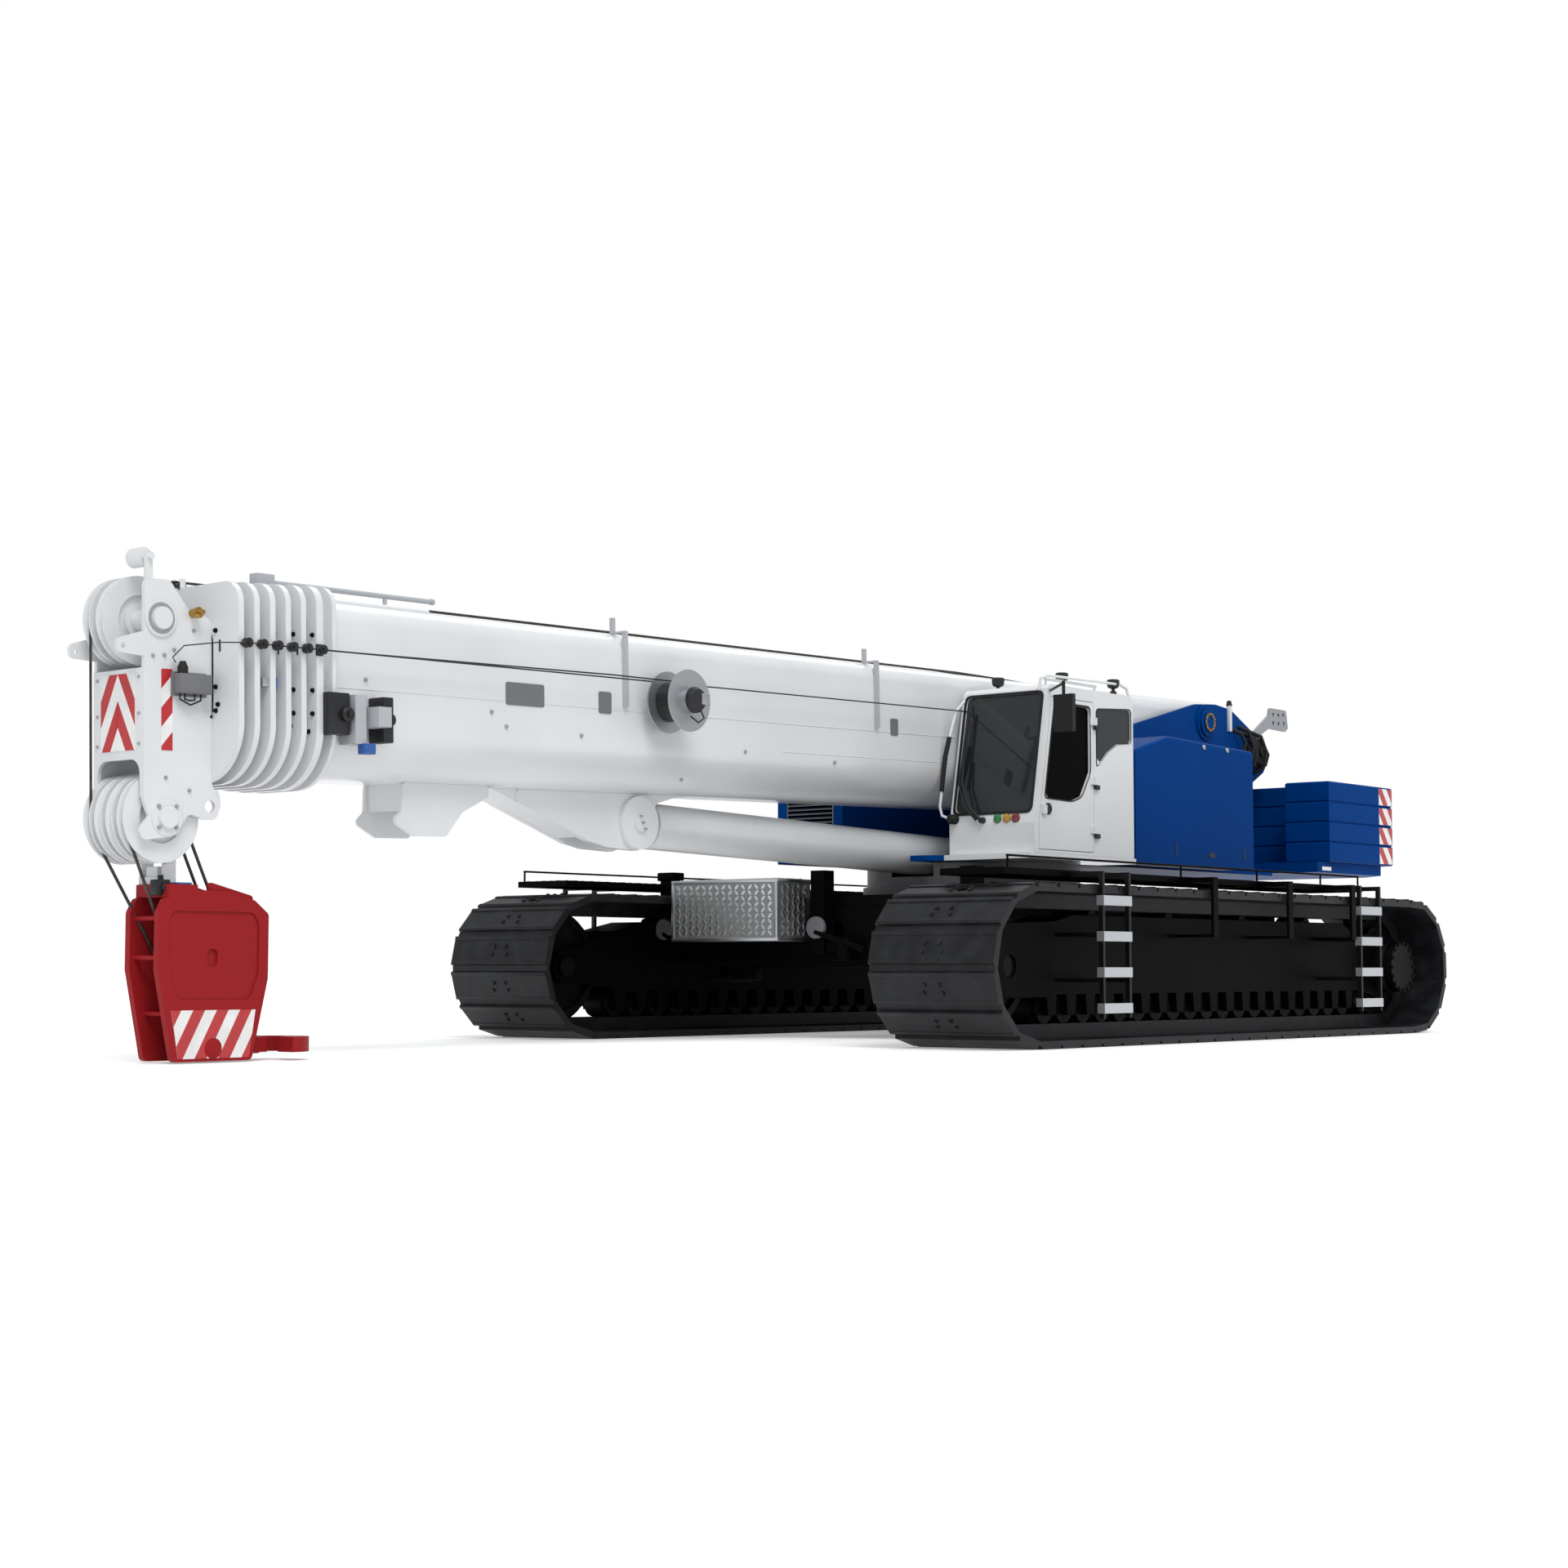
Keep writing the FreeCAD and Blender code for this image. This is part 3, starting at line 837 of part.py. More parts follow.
def sheave(r, y, wide, bore=SHAFT_R + 0.06):
    prof = [(r - 130, 0), (r, 0), (r, 12), (r - 45, wide / 2 - 8), (r - 45, wide / 2 + 8), (r, wide - 12), (r, wide),
            (r - 130, wide)]
    f = face([(x, z - wide / 2 + y, 0) for x, z in prof]).revolve(V(0, 0, 0), Y_AXIS, 360)
    web = rod_y(0, 0, y - 14, y + 14, r - 125)
    hub_ = rod_y(0, 0, y - wide / 2, y + wide / 2, bore + 45)
    return f.fuse([web, hub_]).cut(rod_y(0, 0, y - wide, y + wide, bore))


def sheaves(name, u, v, r, ys, wide):
    """ys are the sheaves' middles; hubs meet at their faces."""
    out = []
    for y in ys:
        s = sheave(r, y, wide)
        s.translate(V(u, 0, v))
        out.append(boom_place(s))
    save(name, *out)


UPPER_SHEAVES_Y = (-120.0, 20.0)
LOWER_SHEAVES_Y = (-180.0, -60.0, 60.0, 180.0)
sheaves("sheaves_upper", UPPER_U, UPPER_V, UPPER_SHEAVE_R, UPPER_SHEAVES_Y, 76.0)
sheaves("sheaves_lower", LOWER_U, LOWER_V, LOWER_SHEAVE_R, LOWER_SHEAVES_Y, 76.0)

# hanger on the lower shaft, between the sheaves, and the hook block standing under it
hx, hz = boom_xz(LOWER_U, LOWER_V)
HANG_Y = (-120.0, 120.0)    # middles of the hanger's two plates, in the gaps between the sheaves
HANG_THICK = 26.0
HANG_X = hx - 140           # the plates bend back, to stand over the block's middle
SEAT_Z = BLOCK_TOP + 36     # top of the block's seat plate
hang = [box(HANG_X - 60, HANG_X + 60, HANG_Y[0], HANG_Y[1], SEAT_Z + FIT, SEAT_Z + 50),
        box(HANG_X - 45, HANG_X + 45, HANG_Y[0] + 60, HANG_Y[1] - 60, SEAT_Z + 20, SEAT_Z + 120)]
for y in HANG_Y:
    hang.append(soft_plate([(hx - 45, hz), (HANG_X - 48, SEAT_Z + 190), (HANG_X - 48, SEAT_Z + FIT),
                            (HANG_X + 48, SEAT_Z + FIT), (HANG_X + 48, SEAT_Z + 170), (hx + 50, hz - 20),
                            (hx + 45, hz + 40), (hx - 20, hz + 60)], 18, y - HANG_THICK / 2, y + HANG_THICK / 2))
    hang.append(rod_y(hx, hz, y - HANG_THICK / 2, y + HANG_THICK / 2, SHAFT_R + 45))
hanger = hang[0].fuse(hang[1:]).removeSplitter()
save("hook_hanger", hanger.cut(rod_y(hx, hz, -200, 200, SHAFT_R + 0.06)))
cheek_pts = [(-460, 560), (-460, 1000), (-340, 1090), (-120, BLOCK_TOP), (200, BLOCK_TOP), (400, 1090), (450, 1000), (450, 620),
             (320, BLOCK_LOW), (-330, BLOCK_LOW)]
cheeks = []
for s, out in ((BLOCK_GAP, 1), (-BLOCK_GAP - CHEEK, -1)):
    cheek = soft_plate([(HOOK_X + x, z) for x, z in cheek_pts], 40, HOOK_Y + s, HOOK_Y + s + CHEEK)
    # rim left round a shallow recess, with a cover and an oval hole in its middle
    y = HOOK_Y + s + (CHEEK - 12 if out > 0 else -1)
    recess = soft_plate([(HOOK_X - 380, 930), (HOOK_X - 330, 1010), (HOOK_X + 340, 1010), (HOOK_X + 370, 930),
                         (HOOK_X + 350, 560), (HOOK_X + 290, 420), (HOOK_X - 310, 420), (HOOK_X - 380, 600)],
                        60, y, y + 13)
    cheek = cheek.cut(recess)
    oval = soft_plate([(HOOK_X - 42, 640), (HOOK_X - 42, 760), (HOOK_X + 42, 760), (HOOK_X + 42, 640)], 42,
                      HOOK_Y + s + (20 if out > 0 else -1), HOOK_Y + s + CHEEK - (-1 if out > 0 else 20))
    cheeks.append(cheek.cut(oval))
# spacers between the cheeks: x from the block's middle, z
spacers = [rod_y(HOOK_X + x, z, HOOK_Y - BLOCK_GAP - 5, HOOK_Y + BLOCK_GAP + 5, 16) for x, z in
           ((400, 960), (400, 700), (310, 330), (-400, 960), (-400, 700), (-320, 330))]
spacers.append(rod_y(HOOK_X, 700, HOOK_Y - BLOCK_GAP - 5, HOOK_Y + BLOCK_GAP + 5, 60))
seat = box(HANG_X - 150, HANG_X + 80, HOOK_Y - BLOCK_GAP - CHEEK, HOOK_Y + BLOCK_GAP + CHEEK, BLOCK_TOP - 50, SEAT_Z)
# slanted lever plates on the cheeks' rear shoulders
for y in (HOOK_Y + BLOCK_GAP + 5, HOOK_Y - BLOCK_GAP - 30):
    spacers.append(soft_plate([(HOOK_X + 30, BLOCK_TOP - 60), (HOOK_X - 330, BLOCK_TOP - 110),
                               (HOOK_X - 340, BLOCK_TOP - 30), (HOOK_X + 40, BLOCK_TOP + 60)], 25, y, y + 25))
HOOK_Z = 110.0              # middle of the lying hook and of the cross piece that it swings on
TRUNNION_R = 42.0           # round ends of the cross piece, turning in the cheeks
block = cheeks[0].fuse([cheeks[1], seat] + spacers).removeSplitter()
block = block.cut(rod_y(HOOK_X, HOOK_Z, HOOK_Y - BLOCK_GAP - CHEEK - 1, HOOK_Y + BLOCK_GAP + CHEEK + 1, TRUNNION_R + FIT))
save("hook_block", block)
block_sheaves = []
for y in (-62.0, 62.0):
    w = sheave(270.0, 0, 76.0, bore=60.06)
    w.translate(V(HOOK_X, HOOK_Y + y, 700))
    block_sheaves.append(w)
save("block_sheaves", *block_sheaves)
# crane hook lying flat between the lower ends of the cheeks: shank, bowl and point
cross = box(HOOK_X - 75, HOOK_X + 75, HOOK_Y - BLOCK_GAP + FIT, HOOK_Y + BLOCK_GAP - FIT, HOOK_Z - 70, HOOK_Z + 70)
cross = cross.fuse(rod_y(HOOK_X, HOOK_Z, HOOK_Y - BLOCK_GAP - CHEEK + 4, HOOK_Y + BLOCK_GAP + CHEEK - 4, TRUNNION_R))
shank = rod_x(HOOK_Y, HOOK_Z, HOOK_X - 520, HOOK_X - 60, 62)
HOOK_RING = 175.0
ring_x = HOOK_X - 640
bowl = rod_z(ring_x, HOOK_Y, 58, 162, HOOK_RING + 85).cut(rod_z(ring_x, HOOK_Y, 50, 170, HOOK_RING - 75))
bowl = bowl.cut(box(ring_x + 20, ring_x + 400, HOOK_Y + 60, HOOK_Y + 400, 50, 170))
save("crane_hook", fuse(cross, shank, bowl))

# luffing cylinder: barrel on the boom's pin, rod towards the turntable's lugs
ax, az = boom_xz(LUFF_U, LUFF_V)
dx, dz = LUFF_LOW_X - ax, LUFF_LOW_Z - az
luff_len = sqrt(dx * dx + dz * dz)
BARREL_LEN = luff_len - BARREL_SHORT


def along(shape):
    """From the cylinder's own frame, along -X from its boom pin, to where it lies."""
    out = shape.copy()
    out.rotate(V(0, 0, 0), Y_AXIS, -degrees(atan2(-dz, -dx)))
    out.translate(V(ax, 0, az))
    return out


barrel = rod_x(0, 0, -BARREL_LEN, -BARREL_START, BARREL_R).fuse([
    rod_y(0, 0, -EYE_WIDE / 2, EYE_WIDE / 2, 180), box(-BARREL_START - 40, 0, -EYE_WIDE / 2, EYE_WIDE / 2, -140, 140),
    rod_x(0, 0, -BARREL_LEN, -BARREL_LEN + GLAND, BARREL_R + 12)])
barrel = barrel.cut(rod_x(0, 0, -BARREL_LEN + GLAND, -BARREL_START - 50, BARREL_R - 28))
barrel = barrel.cut(rod_x(0, 0, -BARREL_LEN - 1, -BARREL_LEN + GLAND + 1, ROD_R + 0.06))
barrel = barrel.cut(rod_y(0, 0, -300, 300, LUFF_PIN_R + 0.06))
save("luff_barrel", along(barrel))
rod = rod_x(0, 0, -luff_len + 215, -BARREL_START - 60, ROD_R).fuse([box(-luff_len, -luff_len + 230, -EYE_WIDE / 2, EYE_WIDE / 2, -80, 80), rod_y(-luff_len, 0, -EYE_WIDE / 2, EYE_WIDE / 2, EYE_R),
                                                     rod_x(0, 0, -BARREL_START - 60 - PISTON, -BARREL_START - 60, BARREL_R - 28 - 0.06)])
rod = rod.cut(rod_y(-luff_len, 0, -300, 300, 72))
save("luff_rod", along(rod))
print("parts", len(parts), "luff angle", degrees(atan2(-dz, -dx)), "luff length", luff_len, "hook shaft", hx + SHIFT_X, hz)
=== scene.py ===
import json
from math import atan2, cos, degrees, exp, pi, radians, sin

import bmesh
import bpy
from bpy.props import FloatProperty, FloatVectorProperty, IntProperty, PointerProperty
from mathutils import Matrix, Vector


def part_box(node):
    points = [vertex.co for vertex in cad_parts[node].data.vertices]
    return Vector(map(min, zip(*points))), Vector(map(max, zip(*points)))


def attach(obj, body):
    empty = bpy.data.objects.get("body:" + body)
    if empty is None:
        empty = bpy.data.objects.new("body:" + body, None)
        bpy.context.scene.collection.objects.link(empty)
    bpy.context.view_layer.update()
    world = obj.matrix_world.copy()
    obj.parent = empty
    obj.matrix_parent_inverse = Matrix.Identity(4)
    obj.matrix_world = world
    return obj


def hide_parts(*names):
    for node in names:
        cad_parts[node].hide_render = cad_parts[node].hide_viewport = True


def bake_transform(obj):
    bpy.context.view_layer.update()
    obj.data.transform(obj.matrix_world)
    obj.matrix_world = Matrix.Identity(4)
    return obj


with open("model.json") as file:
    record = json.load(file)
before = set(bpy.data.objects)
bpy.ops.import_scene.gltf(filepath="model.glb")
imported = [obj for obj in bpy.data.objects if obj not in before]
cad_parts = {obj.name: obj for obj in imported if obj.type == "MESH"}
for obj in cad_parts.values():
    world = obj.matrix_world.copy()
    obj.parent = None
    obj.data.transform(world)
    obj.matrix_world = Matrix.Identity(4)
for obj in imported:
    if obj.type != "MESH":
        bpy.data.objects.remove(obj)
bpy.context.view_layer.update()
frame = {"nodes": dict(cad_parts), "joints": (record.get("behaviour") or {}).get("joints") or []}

bl_info = {
    "name": "Telescopic Crawler Crane",
    "version": (1, 0, 0),
    "blender": (4, 5, 0),
    "location": "View3D > Sidebar > Crane",
    "description": "Paint, ropes, lamps and fittings for a telescopic crawler crane",
    "category": "Object",
}

JOINTS = {j["name"]: j for j in frame["joints"]}
FOOT = Vector(JOINTS["boom_luff"]["pos_m"])             # boom foot pin
ALONG = Vector(JOINTS["telescope_1"]["axis"]).normalized()
ACROSS = Vector((0, 1, 0))
UPWARD = ALONG.cross(ACROSS)
AXIS_X = sum(p.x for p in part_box("slew_ring_lower")) / 2    # slewing axis

# Camera measured from the photograph, in metres about the slewing axis.
CAMERA_AT = (19.790, 13.824, 0.6206)
CAMERA_RIGHT = (-0.63289, 0.77424, 0.0)
CAMERA_UP = (0.05726, 0.04681, 0.99726)
FOCAL_PIXELS, PICTURE_PIXELS, SENSOR_MM = 3067.04, 1920, 36.0

SECTIONS = 5
TRAVEL = JOINTS["telescope_1"]["range_m"][1]
COLLAR_U = [12.03 + 0.128 * i for i in range(SECTIONS + 1)]    # front face of each collar
COLLAR_MID = 0.023                       # from that face back to the collar's middle
COLLAR_STEP = 0.046                      # each collar's half size is smaller by this
COLLAR_OUT_Y = 0.584                     # half width over the base's collar
UPPER_SHAFT, LOWER_SHAFT = (13.090, 0.032), (13.045, -1.280)
SHEAVE_GROOVE, BLOCK_GROOVE = 0.255, 0.225
HEAD_FRONT_U, HEAD_HALF_Y, BOSS_Y = 13.225, 0.270, 0.284
BOOM_SIDE_Y = 0.5                        # the base's side
PROUD = 0.0005                           # a fitting's gap to the face that carries it
# the hoist rope over the boom: its line, its foot behind the base, and each run's rear end, which
# starts just ahead of the collar behind it, dips under the line and rises to it
ROPE_Y, ROPE_V, ROPE_FOOT = -0.12, 0.350, (0.4, 0.262)
ROPE_LAP, ROPE_DIP, ROPE_RISE = 0.002, 0.018, 0.8
# y of each fall at the head's lower sheaves and at the hook block
FALL_Y = ((-0.18, -0.002), (-0.06, -0.002), (0.18, 0.122), (0.06, 0.122))
CABLE_Y, CABLE_V = 0.616, -0.125         # the signal cable's line past the collars
REEL_U, REEL_V, REEL_R = 8.47, -0.28, 0.157
LUFF_PIN = (8.362, -1.216)
# bolts on a collar's face: y, v on the base's collar, and how each shifts on a smaller one
COLLAR_BOLTS = ((0.545, -0.02, -1, 0), (0.545, -0.40, -1, 0), (0.545, -0.56, -1, 0), (0.50, -0.68, -0.7, 0.7),
                (0.42, -0.76, -0.7, 0.7), (0.34, -0.84, -0.7, 0.7), (0.26, -0.92, -0.7, 0.7),
                (0.20, 0.295, -0.3, -1), (0.38, 0.27, -1, -1))
HEAD_BOLTS = ((12.82, -0.03), (12.98, -0.17), (13.06, -0.21), (13.15, -0.22), (13.05, -1.02), (12.86, -1.10))
SIDE_BOLTS = ((11.52, -0.29), (10.30, -0.45), (10.15, -0.55), (9.35, -0.58), (8.20, -0.88), (7.4, -0.62),
              (6.2, -0.66))
SLABS, SHOES = 4, 57
SHOE_FACE = 0.065                        # a shoe's outer face above its joints
# on each shoe: bolts across and along it; ribs along it, their half width and height
SHOE_BOLTS = ((-0.090, 0.034), (0.090, 0.034), (-0.070, -0.034), (0.070, -0.034))
SHOE_RIBS = ((-0.112, 0.022, 0.013), (0.105, 0.016, 0.009))
CAB_TOP, CAB_OUT_Y, CAB_LEAN = 3.190, 1.485, 0.235
RAIL_SPLIT_Y = 1.42                      # the roof rail lies inside this, the mirror arm outside
SIDE_OUT_Y, DECK_TOP, WALKWAY_IN_Y = 0.620, 1.430, 2.08
RUNG_MID_Z, RUNG_PITCH, RUNG_FACE_Y = 0.310, 0.290, 2.9695
# corners of the door's and the rear side window's glass: x, z
DOOR_GLASS = ((0.250, 2.430), (0.250, 3.020), (0.840, 3.020), (1.006, 2.160), (0.560, 2.150), (0.400, 2.200))
SIDE_GLASS = ((-0.460, 2.740), (-0.460, 3.060), (0.140, 3.020), (0.140, 2.480), (-0.060, 2.640),
              (-0.220, 2.720))
# roof work lights: x, y
WORK_LIGHTS = ((0.47, 0.62), (0.43, 1.30), (-0.33, 1.38))
# winch hoses: x, z of the low and high end, and how far each bows out
WINCH_HOSES = ((-4.02, 2.90, 3.20, 0.10), (-4.14, 2.80, 3.24, 0.13), (-4.26, 2.76, 3.18, 0.09),
               (-4.40, 2.74, 3.20, 0.14), (-4.50, 2.78, 3.12, 0.10))
X_AXIS, UP = Vector((1, 0, 0)), Vector((0, 0, 1))


def boom(u, y, v):
    """A point of the boom: u metres along it from the foot pin, v metres square to it."""
    return FOOT + ALONG * u + ACROSS * y + UPWARD * v


def slew(x, y, z):
    """A point measured from the slewing axis."""
    return Vector((x + AXIS_X, y, z))


def linear(text):
    """An sRGB hex colour as linear red, green and blue."""
    parts = [int(text[i:i + 2], 16) / 255 for i in (1, 3, 5)]
    return tuple(c / 12.92 if c <= 0.04045 else ((c + 0.055) / 1.055) ** 2.4 for c in parts)


# Property groups: sizes and colours that a user would change.
class CraneSizes(bpy.types.PropertyGroup):
    hoist_rope: FloatProperty(name="Hoist Rope", description="Diameter of the hoist rope",
                              default=0.022, min=0.01, max=0.04, unit="LENGTH")
    signal_cable: FloatProperty(name="Signal Cable", description="Diameter of the reeled signal cable",
                                default=0.012, min=0.006, max=0.03, unit="LENGTH")
    shoe_bolt: FloatProperty(name="Shoe Bolt", description="Width of a track shoe's bolt head",
                             default=0.036, min=0.02, max=0.06, unit="LENGTH")
    stripe: FloatProperty(name="Stripe", description="Width of one hazard stripe",
                          default=0.10, min=0.04, max=0.3, unit="LENGTH")
    rope_turns: IntProperty(name="Rope Turns", description="Turns of rope shown on the winch drum",
                            default=22, min=4, max=40)
    floor_reach: FloatProperty(name="Floor Reach", description="Half width of the studio floor",
                               default=400.0, min=50.0, max=2000.0, unit="LENGTH")


class CranePaint(bpy.types.PropertyGroup):
    white: FloatVectorProperty(name="White", description="Boom and cab paint", subtype="COLOR",
                               size=3, min=0, max=1, default=linear("#E3E5E6"))
    blue: FloatVectorProperty(name="Blue", description="House and counterweight paint", subtype="COLOR",
                              size=3, min=0, max=1, default=linear("#003C82"))
    red: FloatVectorProperty(name="Red", description="Hook block paint", subtype="COLOR",
                             size=3, min=0, max=1, default=linear("#9C2024"))
    black: FloatVectorProperty(name="Black", description="Undercarriage paint", subtype="COLOR",
                               size=3, min=0, max=1, default=linear("#09090B"))
    stripe_red: FloatVectorProperty(name="Stripe Red", description="Red hazard film", subtype="COLOR",
                                    size=3, min=0, max=1, default=linear("#BC1C21"))


# Materials
def add_node(tree, kind, settings=None, **links):
    """Adds a node. Settings are its own values, or its sockets' values or sources; links name sockets."""
    node = tree.nodes.new(kind)
    named = {key.replace("_", " "): source for key, source in links.items()}
    for key, value in [*(settings or {}).items(), *named.items()]:
        if isinstance(value, bpy.types.NodeSocket):
            tree.links.new(value, node.inputs[key])
        elif isinstance(key, int) or key in node.inputs:
            node.inputs[key].default_value = value
        else:
            setattr(node, key, value)
    return node


def new_finish(name, colour, metallic=0.0, roughness=0.5, **sockets):
    """A material with one principled shader; returns its tree and that shader."""
    found = bpy.data.materials.new(name)
    found.use_nodes = True
    tree = found.node_tree
    tree.nodes.clear()
    values = {"Base Color": (*colour, 1), "Metallic": metallic, "Roughness": roughness}
    values.update({key.replace("_", " "): value for key, value in sockets.items()})
    shader = add_node(tree, "ShaderNodeBsdfPrincipled", values)
    add_node(tree, "ShaderNodeOutputMaterial", {0: shader.outputs[0]})
    return found, tree, shader


def place(tree):
    """Metres in the crane's frame."""
    return add_node(tree, "ShaderNodeTexCoord").outputs["Object"]


def mottle(tree, shader, colour, other, size_mm, low=0.35, high=0.65, detail=3.0):
    """Two close colours in soft patches of a real size."""
    noise = add_node(tree, "ShaderNodeTexNoise", {"Scale": 1000 / size_mm, "Detail": detail},
                     Vector=place(tree))
    ramp = add_node(tree, "ShaderNodeValToRGB", Fac=noise.outputs[0])
    first, last = ramp.color_ramp.elements
    first.position, last.position = low, high
    first.color, last.color = (*colour, 1), (*other, 1)
    tree.links.new(ramp.outputs[0], shader.inputs["Base Color"])
    return noise


def vary_gloss(tree, shader, noise, low, high):
    """Roughness that follows a pattern."""
    spread = add_node(tree, "ShaderNodeMapRange", {"To Min": low, "To Max": high}, Value=noise.outputs[0])
    tree.links.new(spread.outputs[0], shader.inputs["Roughness"])


def bump(tree, shader, height, depth, rounding=0.0):
    """Bump in metres, over edges rounded by a real radius."""
    node = add_node(tree, "ShaderNodeBump", {"Strength": 1.0, "Distance": depth}, Height=height)
    if rounding:
        edge = add_node(tree, "ShaderNodeBevel", {"samples": 4, "Radius": rounding})
        tree.links.new(edge.outputs[0], node.inputs["Normal"])
    tree.links.new(node.outputs[0], shader.inputs["Normal"])


def shade(colour, factor):
    """A colour made darker or lighter."""
    return tuple(min(1.0, c * factor) for c in colour)


def sprayed_enamel(name, colour, roughness, coat, shine=0.5):
    """Two-pack polyurethane enamel, sprayed: soft gloss, faint orange peel. The peel is 3 mm in
    life and is drawn at 40 mm so that it shows."""
    made, tree, shader = new_finish(name, colour, roughness=roughness, IOR=1.5, Coat_Weight=coat,
                                    Coat_Roughness=0.12, Specular_IOR_Level=shine)
    noise = mottle(tree, shader, shade(colour, 0.955), shade(colour, 1.02), 900)
    vary_gloss(tree, shader, noise, roughness - 0.05, roughness + 0.08)
    peel = add_node(tree, "ShaderNodeTexNoise", {"Scale": 25.0, "Detail": 2.0}, Vector=place(tree))
    bump(tree, shader, peel.outputs[0], 0.0004, 0.006)
    return made


def cast_steel(name, colour, worn, shine=0.35):
    """Manganese steel, cast and painted, rubbed bare in patches: dull with brighter wear.
    Its grain is 2 mm in life and drawn at 11 mm."""
    made, tree, shader = new_finish(name, colour, metallic=0.1, roughness=0.5, Specular_IOR_Level=shine)
    noise = mottle(tree, shader, colour, worn, 160, 0.42, 0.74, 6.0)
    vary_gloss(tree, shader, noise, 0.38, 0.62)
    grain = add_node(tree, "ShaderNodeTexNoise", {"Scale": 90.0, "Detail": 4.0}, Vector=place(tree))
    bump(tree, shader, grain.outputs[0], 0.0015, 0.008)
    return made


def metal(name, colour, roughness, streak_mm=30, stretch=(1, 1, 1)):
    """Bare metal with machining or plating marks: bright, with a soft streaky gloss. The marks are
    under 1 mm in life and drawn coarser, at streak_mm."""
    made, tree, shader = new_finish(name, colour, metallic=1.0, roughness=roughness)
    turned = add_node(tree, "ShaderNodeMapping", {"Scale": stretch}, Vector=place(tree))
    noise = add_node(tree, "ShaderNodeTexNoise", {"Scale": 1000 / streak_mm, "Detail": 3.0},
                     Vector=turned.outputs[0])
    vary_gloss(tree, shader, noise, max(0.03, roughness - 0.08), roughness + 0.1)
    bump(tree, shader, noise.outputs[0], 0.0002, 0.004)
    return made


def moulded(name, colour, roughness, grain_mm, depth):
    """Moulded plastic or rubber: even and dull. Its grain is 1 mm in life and drawn coarser, at
    grain_mm."""
    made, tree, shader = new_finish(name, colour, roughness=roughness, IOR=1.49)
    noise = mottle(tree, shader, shade(colour, 0.85), shade(colour, 1.15), grain_mm * 12)
    vary_gloss(tree, shader, noise, roughness - 0.06, roughness + 0.06)
    grain = add_node(tree, "ShaderNodeTexVoronoi", {"Scale": 1000 / grain_mm}, Vector=place(tree))
    bump(tree, shader, grain.outputs[0], depth)
    return made


def woven_cloth(name, colour):
    """Polyester seat cloth, woven: threads are 1 mm in life and drawn at 8 mm so that they show."""
    made, tree, shader = new_finish(name, colour, roughness=0.9, Sheen_Weight=0.3)
    warp = add_node(tree, "ShaderNodeTexWave", {"Scale": 40.0, "bands_direction": "Y"}, Vector=place(tree))
    weft = add_node(tree, "ShaderNodeTexWave", {"Scale": 40.0, "bands_direction": "Z"}, Vector=place(tree))
    both = add_node(tree, "ShaderNodeMath", {"operation": "MULTIPLY", 0: warp.outputs["Fac"],
                                            1: weft.outputs["Fac"]})
    mottle(tree, shader, shade(colour, 0.8), shade(colour, 1.25), 60)
    bump(tree, shader, both.outputs[0], 0.001)
    return made


def tinted_glass(name, colour, transmission, shine=0.5):
    """Toughened safety glass, tinted: dark, with clean reflections."""
    made, tree, shader = new_finish(name, colour, roughness=0.02, IOR=1.45, Specular_IOR_Level=shine,
                                    Transmission_Weight=transmission)
    streak = add_node(tree, "ShaderNodeTexNoise", {"Scale": 2.0, "Detail": 1.0}, Vector=place(tree))
    vary_gloss(tree, shader, streak, 0.01, 0.05)
    return made


def laid_rope(name, colour):
    """Galvanised wire rope, laid and greased: dark, with slanting strands. The lay is 60 mm in
    life and drawn at about 110 mm along the boom so that it shows."""
    patch_mm = 90
    made, tree, shader = new_finish(name, colour, metallic=0.6, roughness=0.45)
    strands = add_node(tree, "ShaderNodeTexWave", {"Scale": 1000 / patch_mm / 2, "Distortion": 1.0,
                                                   "bands_direction": "DIAGONAL"}, Vector=place(tree))
    mottle(tree, shader, shade(colour, 0.7), shade(colour, 1.5), patch_mm)
    bump(tree, shader, strands.outputs["Fac"], 0.002)
    return made


def lens(name, colour):
    """Acrylic lens, moulded: deep colour with a bright edge. Its flutes are 3 mm apart in life and
    drawn at 24 mm."""
    made, tree, shader = new_finish(name, colour, roughness=0.15, IOR=1.49, Coat_Weight=0.6)
    flutes = add_node(tree, "ShaderNodeTexWave", {"Scale": 13.0, "bands_direction": "Z"}, Vector=place(tree))
    mottle(tree, shader, shade(colour, 0.8), shade(colour, 1.2), 30)
    bump(tree, shader, flutes.outputs["Fac"], 0.0008)
    return made


def film(name, colour):
    """Retroreflective film on a sheet: flat strong colour over small cells. They are 3 mm apart in
    life and drawn at 6 mm."""
    made, tree, shader = new_finish(name, colour, roughness=0.35, IOR=1.5, Coat_Weight=0.4)
    cells = add_node(tree, "ShaderNodeTexVoronoi", {"Scale": 160.0}, Vector=place(tree))
    mottle(tree, shader, shade(colour, 0.93), shade(colour, 1.04), 120)
    bump(tree, shader, cells.outputs[0], 0.0003)
    return made


